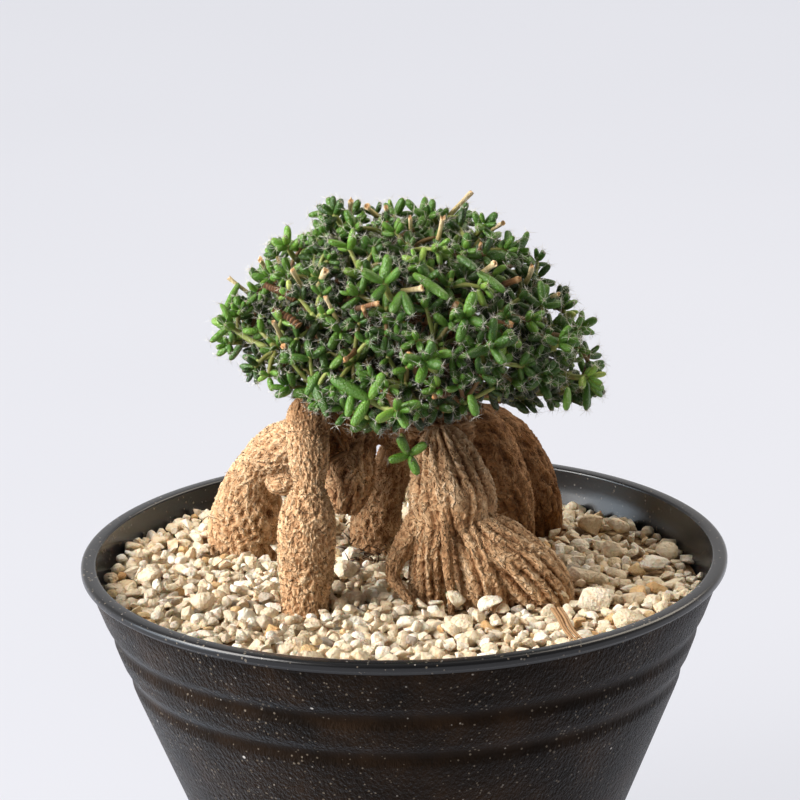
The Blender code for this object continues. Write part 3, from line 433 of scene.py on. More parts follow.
class NodeWeb:
    """A tree of shader nodes, with a short call for each kind of node used here."""

    def __init__(self, owner):
        owner.use_nodes = True
        self.nodes = owner.node_tree.nodes
        self.links = owner.node_tree.links

    def put(self, value, socket):
        """Link the value to the socket, or set it there if it is a plain one."""
        if isinstance(value, bpy.types.NodeSocket):
            self.links.new(value, socket)
        else:
            socket.default_value = value

    def add(self, kind, sockets=None, **settings):
        node = self.nodes.new("ShaderNode" + kind)
        for name, value in settings.items():
            setattr(node, name, value)
        for name, value in (sockets or {}).items():
            self.put(value, node.inputs[name])
        return node

    def grade(self, factor, low, high, out_low=0.0, out_high=1.0):
        names = "Value", "From Min", "From Max", "To Min", "To Max"
        sockets = dict(zip(names, (factor, low, high, out_low, out_high)))
        return self.add("MapRange", sockets).outputs["Result"]

    def math(self, operation, one, two=0.0):
        return self.add("Math", {0: one, 1: two}, operation=operation).outputs["Value"]


class Surface(NodeWeb):
    """A material whose patterns and relief are sized in millimetres."""

    def __init__(self, name, roughness=0.5, **constants):
        self.material = bpy.data.materials.new(name)
        super().__init__(self.material)
        self.shader = self.nodes["Principled BSDF"]
        self.shader.inputs["Roughness"].default_value = roughness
        for socket, value in constants.items():
            self.shader.inputs[socket.replace("_", " ")].default_value = value
        metres = self.add("TexCoord").outputs["Object"]
        scaled = self.add("VectorMath", {"Vector": metres, "Scale": 1 / MM}, operation="SCALE")
        self.place = scaled.outputs["Vector"]

    def attribute(self, name):
        return self.add("Attribute", attribute_name=name).outputs["Fac"]

    def stretched(self, x, y, z):
        node = self.add("VectorMath", {0: self.place, 1: (x, y, z)}, operation="MULTIPLY")
        return node.outputs["Vector"]

    def height(self):
        return self.add("SeparateXYZ", {"Vector": self.place}).outputs["Z"]

    def noise(self, size, detail=2.0, place=None):
        sockets = {"Vector": place or self.place, "Scale": 1 / size, "Detail": detail}
        return self.add("TexNoise", sockets).outputs["Fac"]

    def lines(self, size, width, place=None):
        """Thin lines that wind and meet, 1 along their middles and 0 between them."""
        offset = self.math("ABSOLUTE", self.math("SUBTRACT", self.noise(size, 1.0, place), 0.5))
        return self.grade(offset, 0.0, width, 1.0, 0.0)

    def cells(self, size, feature="F1", place=None):
        sockets = {"Vector": place or self.place, "Scale": 1 / size}
        return self.add("TexVoronoi", sockets, feature=feature).outputs["Distance"]

    def dome_reach(self):
        """Distance from the dome's centre, 1 at its skin."""
        offset = self.add("VectorMath", {0: self.place, 1: tuple(DOME_CENTRE)}, operation="SUBTRACT")
        ends = {0: offset.outputs["Vector"], 1: tuple(DOME_REACH)}
        scaled = self.add("VectorMath", ends, operation="DIVIDE")
        return self.add("VectorMath", {0: scaled.outputs["Vector"]}, operation="LENGTH").outputs["Value"]

    def ramp(self, factor, *stops):
        """A colour that follows the factor, from rows of a place, red, green and blue."""
        node = self.add("ValToRGB", {"Fac": factor})
        elements = node.color_ramp.elements
        while len(elements) < len(stops):
            elements.new(1.0)
        for element, (place, *colour) in zip(elements, stops):
            element.position = place
            element.color = rgb(*colour)
        return node.outputs["Color"]

    def mix(self, factor, one, two, blend="MIX"):
        node = self.add("Mix", data_type="RGBA", blend_type=blend)
        ends = {"Factor_Float": factor, "A_Color": one, "B_Color": two}
        for socket in node.inputs:
            if socket.identifier in ends:
                self.put(ends[socket.identifier], socket)
        return next(socket for socket in node.outputs if socket.identifier == "Result_Color")

    def patched(self, base, colour, pattern, low, high, share):
        """The base with patches of a colour, which come in as the pattern rises from low to high."""
        return self.mix(self.grade(pattern, low, high, 0.0, share), base, rgb(*colour))

    def colour(self, value):
        self.links.new(value, self.shader.inputs["Base Color"])

    def bump(self, height, depth):
        """Relief of the given depth, on top of any added before."""
        node = self.add("Bump", {"Height": height, "Distance": depth * MM, "Strength": 1.0})
        normal = self.shader.inputs["Normal"]
        if normal.links:
            self.links.new(normal.links[0].from_socket, node.inputs["Normal"])
        self.links.new(node.outputs["Normal"], normal)


class Shape:
    """Points in millimetres with faces, a material number for each face and values for each point."""

    def __init__(self):
        self.points = []
        self.faces = []
        self.materials = []
        self.values = {"tone": [], "share": []}
        self.count = 0

    def add(self, points, faces, tone=0.5, share=0.0, material=0):
        """Add points and faces; tone and share are one number or one for each point."""
        points = np.asarray(points, float).reshape(-1, 3)
        self.points.append(points)
        self.faces += [[self.count + index for index in face] for face in faces]
        self.materials += [material] * len(faces)
        for name, value in (("tone", tone), ("share", share)):
            self.values[name].append(np.broadcast_to(np.asarray(value, float), len(points)))
        self.count += len(points)

    def mesh(self, name):
        mesh = bpy.data.meshes.new(name)
        mesh.from_pydata(np.vstack(self.points) * MM, [], self.faces)
        return mesh

    def piece(self, name, materials, slot, node=None, smooth_angle=180.0):
        mesh = self.mesh(name)
        for material in materials:
            mesh.materials.append(material)
        mesh.polygons.foreach_set("material_index", self.materials)
        for value_name, arrays in self.values.items():
            keep_values(mesh, value_name, np.concatenate(arrays))
        return dressed(name, mesh, node, smooth_angle)


def keep_values(mesh, name, values):
    """Keep one number, or a row of three, for each point of the mesh."""
    kind, field = ("FLOAT", "value") if values.ndim == 1 else ("FLOAT_VECTOR", "vector")
    mesh.attributes.new(name, kind, "POINT").data.foreach_set(field, values.ravel())


def linked(name, data):
    """A new object in the scene."""
    made = bpy.data.objects.new(name, data)
    bpy.context.scene.collection.objects.link(made)
    return made


def dressed(name, mesh, node=None, smooth_angle=180.0):
    """A piece smooth up to the angle, riding on the body and standing for the node, if one is given."""
    mesh.shade_smooth()
    if smooth_angle < 180.0:
        mesh.set_sharp_from_angle(angle=math.radians(smooth_angle))
    piece = linked(name, mesh)
    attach(piece, BODY)
    if node:
        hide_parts(node)
    return piece


def applied(piece):
    """A copy of the piece's mesh with its modifiers applied."""
    depsgraph = bpy.context.evaluated_depsgraph_get()
    return bpy.data.meshes.new_from_object(piece.evaluated_get(depsgraph))


def ring_faces(ring_count, sides, joined=False):
    """Quads between rings of points, and either end caps or a strip back to the first ring."""
    faces = []
    for ring in range(ring_count if joined else ring_count - 1):
        after = (ring + 1) % ring_count
        for side in range(sides):
            beside = (side + 1) % sides
            corners = (ring, side), (ring, beside), (after, beside), (after, side)
            faces.append([row * sides + column for row, column in corners])
    if not joined:
        faces.append(list(range(sides))[::-1])
        faces.append([(ring_count - 1) * sides + side for side in range(sides)])
    return faces


def turned(profile, segments, joined=False):
    """Points and faces of a profile of radii and heights, turned round the upright axis."""
    radii, heights = np.array(profile).T
    angles = np.arange(segments) * math.tau / segments
    points = np.stack([
        radii[:, None] * np.cos(angles),
        radii[:, None] * np.sin(angles),
        np.repeat(heights[:, None], segments, axis=1),
    ], axis=-1)
    return points, [face[::-1] for face in ring_faces(len(profile), segments, joined)]


def scatter(draw, spread):
    """A random offset in space."""
    return np.array([draw.gauss(0, spread) for _ in range(3)])


def unit(vectors):
    return vectors / np.linalg.norm(vectors, axis=-1, keepdims=True)


def carried_frames(path):
    """Tangents along a path, and two directions square to them that don't twist."""
    path = np.asarray(path, float)
    tangents = unit(np.gradient(path, axis=0))
    guide = np.array([0.0, 0.0, 1.0]) if abs(tangents[0][2]) < 0.8 else np.array([0.0, 1.0, 0.0])
    firsts = []
    for tangent in tangents:
        guide = guide - tangent * guide.dot(tangent)
        guide = guide / np.linalg.norm(guide)
        firsts.append(guide)
    firsts = np.array(firsts)
    return tangents, firsts, np.cross(tangents, firsts)


def tube(path, radii, sides):
    """Points and faces of a closed tube along the path."""
    path = np.asarray(path, float)
    radii = np.broadcast_to(np.asarray(radii, float), len(path))
    _, firsts, seconds = carried_frames(path)
    angles = np.arange(sides) * math.tau / sides
    around = firsts[:, None] * np.cos(angles)[None, :, None]
    around = around + seconds[:, None] * np.sin(angles)[None, :, None]
    return path[:, None] + around * radii[:, None, None], ring_faces(len(path), sides)


def spline(rows, steps):
    """A smooth curve through rows of numbers, with the given steps from each row to the next."""
    rows = np.asarray(rows, float)
    before = np.vstack([2 * rows[0] - rows[1], rows[:-1]])
    after = np.vstack([rows[1:], 2 * rows[-1] - rows[-2]])
    slopes = (after - before) / 2
    curve = []
    for index in range(len(rows) - 1):
        for step in range(steps):
            share = step / steps
            square = share * share
            cube = square * share
            curve.append(
                rows[index] * (2 * cube - 3 * square + 1)
                + slopes[index] * (cube - 2 * square + share)
                + rows[index + 1] * (3 * square - 2 * cube)
                + slopes[index + 1] * (cube - square)
            )
    curve.append(rows[-1])
    return np.array(curve)


def smooth_step(values, low, high):
    share = np.clip((values - low) / (high - low), 0.0, 1.0)
    return share * share * (3 - 2 * share)


# Camera, light and floor


def make_camera():
    data = bpy.data.cameras.new("camera")
    data.sensor_width = SENSOR
    data.lens = LENS
    data.clip_start = 0.01
    camera = linked("camera", data)
    back = CAMERA_RIGHT.cross(CAMERA_UP)
    turn = Matrix((CAMERA_RIGHT, CAMERA_UP, back)).transposed().to_4x4()
    camera.matrix_world = Matrix.Translation(CAMERA_PLACE * MM) @ turn
    bpy.context.scene.camera = camera


def picture_ray(pixel):
    """Direction from the camera through a pixel of the picture."""
    across = (pixel[0] - PICTURE_WIDTH / 2) * SENSOR / PICTURE_WIDTH
    down = (pixel[1] - PICTURE_WIDTH / 2) * SENSOR / PICTURE_WIDTH
    back = CAMERA_RIGHT.cross(CAMERA_UP)
    return (CAMERA_RIGHT * across - CAMERA_UP * down - back * LENS).normalized()


def at_depth(pixel, y):
    """The place seen at a pixel on the upright plane at y."""
    ray = picture_ray(pixel)
    return np.array(CAMERA_PLACE + ray * ((y - CAMERA_PLACE.y) / ray.y))


def at_height(pixel, z):
    """The place seen at a pixel on the level plane at z."""
    ray = picture_ray(pixel)
    return np.array(CAMERA_PLACE + ray * ((z - CAMERA_PLACE.z) / ray.z))


def on_dome(pixel, reach):
    """Where the ray through a pixel meets the dome at a share of its size, or passes closest to it."""
    ray = picture_ray(pixel)
    start = CAMERA_PLACE - DOME_CENTRE
    scaled_ray = Vector(ray[axis] / DOME_REACH[axis] for axis in range(3))
    scaled_start = Vector(start[axis] / DOME_REACH[axis] for axis in range(3))
    square = scaled_ray.dot(scaled_ray)
    half = scaled_ray.dot(scaled_start)
    inside = half * half - square * (scaled_start.dot(scaled_start) - reach * reach)
    distance = (-half - math.sqrt(max(inside, 0.0))) / square
    return np.array(CAMERA_PLACE + ray * distance)


def span_on_dome(pixels, reaches):
    """The places seen at two pixels, at two shares of the dome's size."""
    return [on_dome(pixel, reach) for pixel, reach in zip(pixels, reaches)]


def add_lamp(name, place, size, power, colour):
    data = bpy.data.lights.new(name, "AREA")
    data.shape = "DISK"
    data.size = size * MM
    data.energy = power
    data.color = colour
    heading = Vector(LAMP_TARGET) - Vector(place)
    turn = heading.to_track_quat("-Z", "Y").to_matrix().to_4x4()
    linked(name, data).matrix_world = Matrix.Translation(Vector(place) * MM) @ turn


def light_room():
    """The lamps, and a dim room that is brighter behind the plant and dimmer high up."""
    for name, lamp in LAMPS.items():
        add_lamp(name, *lamp)
    world = bpy.data.worlds.new("world")
    bpy.context.scene.world = world
    web = NodeWeb(world)
    heading = web.add("TexCoord").outputs["Generated"]
    split = web.add("SeparateXYZ", {"Vector": heading})
    strength = web.grade(split.outputs["Y"], -1.0, 1.0, FRONT_LIGHT, BACK_LIGHT)
    dimming = web.grade(split.outputs["Z"], *HIGH_RANGE, 1.0, HIGH_LIGHT)
    background = web.nodes["Background"].inputs
    background["Color"].default_value = ROOM_COLOUR
    web.links.new(web.math("MULTIPLY", strength, dimming), background["Strength"])
    bpy.context.scene.view_settings.view_transform = "Standard"


def make_floor():
    mesh = bpy.data.meshes.new("floor")
    corners = [Vector((x, y, 0)) * FLOOR_HALF for x, y in ((-1, -1), (1, -1), (1, 1), (-1, 1))]
    mesh.from_pydata([corner * MM for corner in corners], [], [[0, 1, 2, 3]])
    glow = {"Emission_Color": rgb(236, 237, 244), "Emission_Strength": FLOOR_GLOW}
    surface = Surface("floor", roughness=0.9, **glow)
    surface.colour(surface.ramp(surface.noise(420.0), (0.3, 72, 72, 76), (0.7, 82, 82, 86)))
    mesh.materials.append(surface.material)
    linked("floor", mesh)


# Pot


def wall_radius(height):
    heights = [row[0] for row in WALL_LINE][::-1]
    radii = [row[1] for row in WALL_LINE][::-1]
    return float(np.interp(height, heights, radii))


def dipped_radius(height):
    """Outer radius of the wall with its soft grooves."""
    radius = wall_radius(height)
    for middle, depth in GROOVES:
        offset = abs(height - middle) / GROOVE_HALF_WIDTH
        if offset < 1:
            radius -= depth * (1 + math.cos(math.pi * offset)) / 2
    return radius


def arc(centre, radius, start, end):
    """Points of radius and height on a rounded edge, with angles in degrees."""
    points = []
    for step in range(ROUND_STEPS + 1):
        angle = math.radians(start + (end - start) * step / ROUND_STEPS)
        points.append((centre[0] + radius * math.cos(angle), centre[1] + radius * math.sin(angle)))
    return points


def pot_profile():
    """Radii and heights of the pot's section: over the rim, down the wall, under the foot and up inside."""
    inner = RIM_RADIUS - RIM_WIDTH
    low = POT_HEIGHT - RIM_DROP
    foot_inner = FOOT_RADIUS - FOOT_WIDTH
    profile = arc((inner + TOP_ROUND, POT_HEIGHT - TOP_ROUND), TOP_ROUND, 180, 90)
    profile += arc((RIM_RADIUS - BAND_ROUND, POT_HEIGHT - BAND_ROUND), BAND_ROUND, 90, 0)
    profile += arc((RIM_RADIUS - LOW_ROUND, low + LOW_ROUND), LOW_ROUND, 0, -90)
    profile += [(wall_radius(low) + CHAMFER, low), (wall_radius(low), low - CHAMFER)]
    steps = int((low - 1.0 - WALL_LINE[-1][0]) / WALL_PITCH)
    for step in range(steps + 1):
        height = low - 1.0 - step * WALL_PITCH
        profile.append((dipped_radius(height), height))
    profile += arc((FOOT_RADIUS - TOP_ROUND, TOP_ROUND), TOP_ROUND, 0, -90)
    profile += arc((foot_inner + LOW_ROUND, LOW_ROUND), LOW_ROUND, -90, -180)
    profile += [
        (foot_inner - 2 * CHAMFER, FOOT_RISE),
        (CENTRE_HOLE_RADIUS + CHAMFER, FOOT_RISE),
        (CENTRE_HOLE_RADIUS, FOOT_RISE + CHAMFER),
        (CENTRE_HOLE_RADIUS, FLOOR_TOP),
    ]
    return profile + [(wall_radius(height) - WALL, height) for height in (FLOOR_TOP, *INNER_HEIGHTS)]


def pot_surface(name, specular, roughness, grained):
    """Dark plastic with pale specks; the outer wall's is brownish and has a leathery grain."""
    surface = Surface(
        name,
        roughness=roughness,
        Specular_IOR_Level=specular,
        Sheen_Weight=0.12 if grained else 0.08,
        Sheen_Roughness=0.35,
        Sheen_Tint=SHEEN_TINT,
    )
    base = rgb(15, 15, 17)
    if grained:
        cloud = surface.noise(13.0, 5.0)
        base = surface.ramp(cloud, (0.3, 18, 11, 5), (0.55, 32, 21, 11), (0.75, 48, 33, 19))
        surface.bump(pot_grain(surface), 0.4)
    dust = surface.grade(surface.noise(9.0, 2.0), 0.35, 0.65, 0.08, 0.2)
    specks = [
        (1.5, dust, 0.5, (140, 128, 112)),
        (3.2, 0.07, 0.5, (180, 172, 162)),
        (11.0, 0.036, 0.8, (222, 216, 208)),
    ]
    for spacing, size, strength, colour in specks:
        inside = surface.math("LESS_THAN", surface.cells(spacing), size)
        base = surface.mix(surface.math("MULTIPLY", inside, strength), base, rgb(*colour))
    surface.colour(base)
    return surface.material


def pot_grain(surface):
    """The grain's height: it is shallow inside the grooves and ends under the rim."""
    height = surface.height()
    shown = surface.grade(height, POT_HEIGHT - RIM_DROP - 0.5, POT_HEIGHT - RIM_DROP - 1.2)
    for middle, _ in GROOVES:
        offset = surface.math("ABSOLUTE", surface.math("SUBTRACT", height, middle))
        shown = surface.math("MULTIPLY", shown, surface.grade(offset, 0.8, 2.8, 0.25, 1.0))
    grain = surface.cells(0.78, "SMOOTH_F1", surface.stretched(1.0, 1.0, 0.6))
    fine = surface.noise(0.34, 3.0, surface.stretched(1.0, 1.0, 0.5))
    return surface.math("MULTIPLY", surface.math("ADD", grain, fine), shown)


def make_pot():
    shape = Shape()
    shape.add(*turned(pot_profile(), POT_SEGMENTS, joined=True))
    smooth = pot_surface("pot_smooth", 0.5, 0.24, False)
    wall = pot_surface("pot_wall", 0.05, 0.36, True)
    pot = shape.piece("pot_shell", [smooth, wall], "pot", "pot", SMOOTH_ANGLES["pot"])
    wall_top = (POT_HEIGHT - RIM_DROP - PLAIN_BAND) * MM
    for face in pot.data.polygons:
        outward = face.normal.x * face.center.x + face.normal.y * face.center.y > 0
        face.material_index = int(outward and face.center.z < wall_top)
    drill_drains(pot)


def drill_drains(pot):
    drills = Shape()
    for index in range(DRAIN_COUNT):
        angle = math.tau * index / DRAIN_COUNT
        x = DRAIN_CIRCLE * math.cos(angle)
        y = DRAIN_CIRCLE * math.sin(angle)
        drills.add(*tube([(x, y, -2.0), (x, y, 2.0), (x, y, FLOOR_TOP + 2.0)], DRAIN_RADIUS, 24))
    cutter = linked("drills", drills.mesh("drills"))
    modifier = pot.modifiers.new("drains", "BOOLEAN")
    modifier.operation = "DIFFERENCE"
    modifier.object = cutter
    modifier.solver = "EXACT"
    pot.data = applied(pot)
    pot.modifiers.clear()
    bpy.data.objects.remove(cutter)


# Tubers


class Tuber:
    """A swollen root: its centre line, its half sizes and the way its wrinkles run."""

    def __init__(self, name):
        self.stations, self.spacing, self.slant, self.depth, self.crumpling, self.tone_and_shade = TUBERS[name]
        rows = spline(self.stations, STEPS_A_STATION)
        self.centres = rows[:, :3]
        self.halves = np.maximum(rows[:, 3:5], 0.4)
        self.tangents, self.firsts, self.seconds = carried_frames(self.centres)
        steps = np.linalg.norm(np.diff(self.centres, axis=0), axis=1)
        self.lengths = np.concatenate([[0.0], np.cumsum(steps)])
        self.girth = self.halves.mean()
        self.count = round(math.tau * self.girth / self.spacing)
        self.seed = len(name) * 17.3 + self.centres[0][0]

    def skin(self):
        """Points and faces of the plain tuber."""
        angles = np.arange(TUBER_SIDES) * math.tau / TUBER_SIDES
        around = self.firsts[:, None] * np.cos(angles)[None, :, None] * self.halves[:, :1, None]
        around = around + self.seconds[:, None] * np.sin(angles)[None, :, None] * self.halves[:, 1:, None]
        return self.centres[:, None] + around, ring_faces(len(self.centres), TUBER_SIDES)

    def nearest(self, points):
        """Number of the centre that lies nearest each point."""
        nearest = np.empty(len(points), int)
        for first in range(0, len(points), POINTS_AT_ONCE):
            part = slice(first, first + POINTS_AT_ONCE)
            squares = (self.centres**2).sum(axis=1) - 2 * points[part] @ self.centres.T
            nearest[part] = squares.argmin(axis=1)
        return nearest

    def local(self, points):
        """How far out each point lies, as a share of the half size, and its place once unbent."""
        nearest = self.nearest(points)
        offsets = points - self.centres[nearest]
        one = (offsets * self.firsts[nearest]).sum(axis=1)
        two = (offsets * self.seconds[nearest]).sum(axis=1)
        along = (offsets * self.tangents[nearest]).sum(axis=1)
        half = self.halves[nearest].mean(axis=1)
        beyond = np.where((nearest == 0) | (nearest == len(self.centres) - 1), along, 0.0)
        share = np.sqrt(one**2 + two**2 + beyond**2) / half
        spread = np.maximum(np.hypot(one, two), 0.3)
        unbent = np.stack([
            one / spread * self.girth + self.seed,
            two / spread * self.girth,
            (self.lengths[nearest] + along) / FIBRE_STRETCH,
        ], axis=1)
        return share, unbent

    def skin_share(self, points):
        """1 on the tuber's side, falling to 0 over a raised end, where the wrinkles would bunch."""
        if self.tangents[-1][2] < 0.3:
            return np.ones(len(points))
        along = (points - self.centres[-1]) @ self.tangents[-1]
        return 1 - smooth_step(along, -0.6 * self.halves[-1].mean(), 0.4 * self.halves[-1].mean())

    def ridges(self, unbent):
        """Relief from 0 in the crevices to 1 on the ridges: two sets that cross, meet and part."""
        wander = np.empty((len(unbent), 3))
        fine = np.empty(len(unbent))
        longways = np.array([1.0, 1.0, 1 / RIDGE_STRETCH])
        for index, place in enumerate(unbent * longways):
            point = Vector(place)
            wander[index] = noise.noise_vector(point / (1.25 * self.spacing))
            fine[index] = noise.noise(point / (0.75 * self.spacing))
        turns = self.count * np.arctan2(unbent[:, 1], unbent[:, 0] - self.seed)
        climb = math.tau / self.spacing * self.slant * unbent[:, 2] * FIBRE_STRETCH
        sway = STRAIGHT_SWAY if self.slant < 0.1 else CROSSED_SWAY
        rising = np.abs(np.cos((turns + climb) / 2 + sway * wander[:, 0]))
        falling = np.abs(np.cos((turns - climb) / 2 + sway * wander[:, 1] + 0.8))
        rope = np.maximum(rising, falling * (0.82 + 0.3 * wander[:, 2]))
        rope = np.clip((rope - 0.15) / 0.8, 0.0, 1.0)
        return 0.86 * rope + 0.34 * fine

    def crumples(self, unbent):
        """Thin raised lines that meet in a net, as on crumpled paper, from 0 to 1."""
        lines = np.empty((len(unbent), 2))
        for index, place in enumerate(unbent):
            point = Vector(place)
            bent = (point + noise.noise_vector(point / 2.3) * 0.8) / (CRUMPLE_SHARE * self.spacing)
            lines[index] = noise.noise(bent), noise.noise(bent * 1.35 + Vector((9, 4, 2)))
        sharp = 1 - np.minimum(np.abs(lines) / CRUMPLE_WIDTH, 1.0)
        return sharp.max(axis=1)


def joined_skin(name, tubers, voxel):
    """The mesh of one closed skin round the overlapping tubers."""
    shape = Shape()
    for member in tubers:
        shape.add(*member.skin())
    rough = linked(name, shape.mesh(name))
    modifier = rough.modifiers.new("skin", "REMESH")
    modifier.mode = "VOXEL"
    modifier.voxel_size = voxel * MM
    skin = applied(rough)
    bpy.data.objects.remove(rough)
    return skin


def mesh_rows(items, field):
    """Rows of three numbers read from a mesh."""
    rows = np.empty(len(items) * 3)
    items.foreach_get(field, rows)
    return rows.reshape(-1, 3)


def mesh_points(mesh):
    return mesh_rows(mesh.vertices, "co") / MM


def set_points(mesh, points):
    mesh.vertices.foreach_set("co", (points * MM).ravel())
    mesh.update()


def smoothed(mesh, values, rounds):
    """The values of each point averaged with its neighbours', over and over."""
    edges = np.empty(len(mesh.edges) * 2, int)
    mesh.edges.foreach_get("vertices", edges)
    starts, ends = edges.reshape(-1, 2).T
    count = len(mesh.vertices)
    neighbours = np.bincount(starts, minlength=count) + np.bincount(ends, minlength=count)
    values = values.reshape(count, -1)
    for _ in range(rounds):
        columns = []
        for column in values.T:
            total = np.bincount(starts, column[ends], count) + np.bincount(ends, column[starts], count)
            columns.append((column + total / neighbours) / 2)
        values = np.stack(columns, axis=1)
    return values


def tuber_weights(shares):
    """How much each tuber rules each point: the nearest one alone, apart from where two meet."""
    weights = np.exp(-(shares - shares.min(axis=0)) / CROSSING_BLEND)
    weights /= weights.sum(axis=0)
    weights[weights < 0.02] = 0.0
    return weights


def wrinkle(mesh, tubers):
    """Raise the wrinkles of each tuber, and keep as values their height as painted shade and highlight, its
    tone with painted shade, and its grain.
    """
    set_points(mesh, smoothed(mesh, mesh_points(mesh), SKIN_SMOOTHING))
    points = mesh_points(mesh)
    normals = mesh_rows(mesh.vertex_normals, "vector")
    shares, places = zip(*[member.local(points) for member in tubers])
    weights = tuber_weights(np.array(shares))
    relief, relief_shade, tone_and_shade = np.zeros((3, len(points)))
    grain = np.zeros((len(points), 3))
    for member, weight, place in zip(tubers, weights, places):
        weight = weight * member.skin_share(points)
        used = weight > 0
        ridge = member.ridges(place[used]) - MEAN_RIDGE
        crumple = member.crumples(place[used]) - MEAN_CRUMPLE
        # partly the bark's own darker crevices and partly painted shade and highlight: darker in the
        # crevices, paler on the ridges and crumples
        shade = 0.58 + 0.75 * min(member.depth, 1.0) * ridge + 0.6 * member.crumpling * crumple
        relief[used] += weight[used] * (member.depth * ridge + member.crumpling * crumple)
        relief_shade[used] += weight[used] * shade
        tone_and_shade += weight * member.tone_and_shade
        main = weight == weights.max(axis=0)
        grain[main] = place[main]
    # partly dark fibres, partly painted shade: the bark darkens towards the cap
    from_cap = np.linalg.norm(points - np.array(DARK_CAP), axis=1)
    tone_and_shade *= 1 - CAP_DARKNESS + CAP_DARKNESS * smooth_step(from_cap, *DARK_CAP_REACH)
    from_hole = np.linalg.norm(points - np.array(BARK_HOLE), axis=1)
    inside = 1 - smooth_step(from_hole, *BARK_HOLE_REACH)
    relief -= HOLE_DEPTH * inside
    # painted shade: the bark inside the hole takes its darkest colour
    relief_shade *= 1 - inside
    set_points(mesh, points + normals * relief[:, None])
    # share holds the painted relief shade, and tone holds the bark's tone with painted shade
    keep_values(mesh, "share", np.clip(relief_shade, 0.0, 1.0))
    keep_values(mesh, "tone", np.clip(tone_and_shade, 0.0, 1.0))
    keep_values(mesh, "grain", grain)


def tuber_surface():
    surface = Surface("tuber_bark", roughness=0.82, Specular_IOR_Level=0.18)
    grain = surface.add("Attribute", attribute_name="grain").outputs["Vector"]
    net = surface.lines(1.7, 0.06, grain)
    threads = surface.lines(0.8, 0.06, grain)
    grit = surface.noise(0.4, 3.0, grain)
    both = surface.math("ADD", surface.math("MULTIPLY", net, 0.2), surface.math("MULTIPLY", threads, 0.13))
    rough = surface.math("ADD", both, surface.grade(grit, 0.3, 0.7, -0.17, 0.03))
    # the bark's colour follows the painted relief shade, dark brown in the crevices and pale on the ridges,
    # with paler raised fibre lines
    height = surface.math("ADD", surface.attribute("share"), rough)
    bark = surface.ramp(
        height,
        (0.0, 94, 58, 32), (0.22, 152, 108, 72), (0.5, 206, 161, 119),
        (0.8, 232, 194, 152), (1.0, 246, 218, 182),
    )
    # a darker copy of the bark for the tubers of low tone: partly their own darker brown, partly painted
    # shade
    dark = surface.ramp(height, (0.0, 40, 20, 6), (0.4, 92, 54, 22), (1.0, 164, 110, 58))
    drift = surface.grade(surface.noise(7.0, 3.0), 0.3, 0.7, -0.2, 0.2)
    blend = surface.math("ADD", surface.attribute("tone"), drift)
    toned_and_shaded = surface.mix(surface.grade(blend, 0.0, 0.9), dark, bark)
    patches = surface.noise(3.0, 5.0, grain)
    surface.colour(surface.patched(toned_and_shaded, (150, 122, 92), patches, 0.56, 0.72, 0.45))
    surface.bump(net, 0.42)
    surface.bump(threads, 0.2)
    surface.bump(grit, 0.09)
    return surface.material


def make_slivers(shape, mesh, tubers, count, draw):
    """Fibres peeling from the bark, lying along the tuber for the most part."""
    points = mesh_points(mesh)
    normals = mesh_rows(mesh.vertex_normals, "vector")
    chosen = draw.choice(np.flatnonzero(points[:, 2] > GRAVEL_LEVEL), count)
    points = points[chosen]
    normals = normals[chosen]
    shares = np.array([member.local(points)[0] for member in tubers])
    owners = shares.argmin(axis=0)
    for point, normal, owner in zip(points, normals, owners):
        member = tubers[owner]
        run = member.tangents[member.nearest(point[None])[0]] * draw.choice([-1, 1])
        run = unit(run + draw.normal(0, 0.38, 3))
        heading = unit(run - normal * run.dot(normal) + normal * draw.uniform(0.0, 0.22))
        length = draw.uniform(*SLIVER_LENGTH)
        width = draw.uniform(*SLIVER_WIDTH)
        # each sliver takes its tuber's tone with its painted shade
        tone = draw.uniform(0.05, 1.0) * (0.35 + 0.65 * member.tone_and_shade)
        add_sliver(shape, point - normal * 0.06, heading, normal, width, length, tone)


def add_sliver(shape, root, heading, normal, width, length, tone):
    side = np.cross(heading, normal) * width / 2
    points = [root - side, root + side, root - normal * width * 0.6, root + heading * length]
    shape.add(points, BRISTLE_FACES, tone)


def add_flakes(shape, draw):
    """Torn flakes beside the notch, and dark strands and crumbs under the knot."""
    for start, end in FLAKES:
        root = at_depth(start, FLAKE_DEPTH)
        run = at_depth(end, FLAKE_DEPTH - 2.0) - root
        add_sliver(shape, root, unit(run), np.array([0.2, -0.9, 0.3]), 1.3, np.linalg.norm(run), 0.4)
    for start, end in STRANDS:
        root = at_depth(start, STRAND_DEPTH + 1.5)
        run = at_depth(end, STRAND_DEPTH) - root
        strand = spline([root, root + run * 0.5 + draw.normal(0, 0.5, 3), root + run], 4)
        shape.add(*tube(strand, np.linspace(0.6, 0.3, len(strand)), 7), 0.1)
    left, right, top, bottom = LITTER_SPAN
    level = np.array([0.0, 0.0, 1.0])
    for _ in range(LITTER_COUNT):
        pixel = (draw.uniform(left, right), draw.uniform(top, bottom))
        place = at_height(pixel, draw.uniform(*LITTER_HEIGHTS))
        run = unit(draw.normal(0, 1, 3) * np.array([1.0, 1.0, 0.35]))
        add_sliver(shape, place, run, level, draw.uniform(0.3, 0.9), draw.uniform(1.0, 4.0), 0.0)


def add_dry_root(shape, draw):
    """A strip of dry root on the stones, split into strands."""
    path = np.array([at_height(pixel, DRY_ROOT_HEIGHT) for pixel in DRY_ROOT])
    for offset in (-1.0, -0.5, 0.0, 0.5, 1.0):
        strand = spline(path + np.array([offset, offset * 0.4, draw.uniform(-0.3, 0.3)]), 4)
        strand = strand[: len(strand) - draw.integers(0, 4)] + draw.normal(0, 0.1, 3)
        shape.add(*tube(strand, np.linspace(0.42, 0.25, len(strand)), 6), draw.uniform(0.3, 0.7))


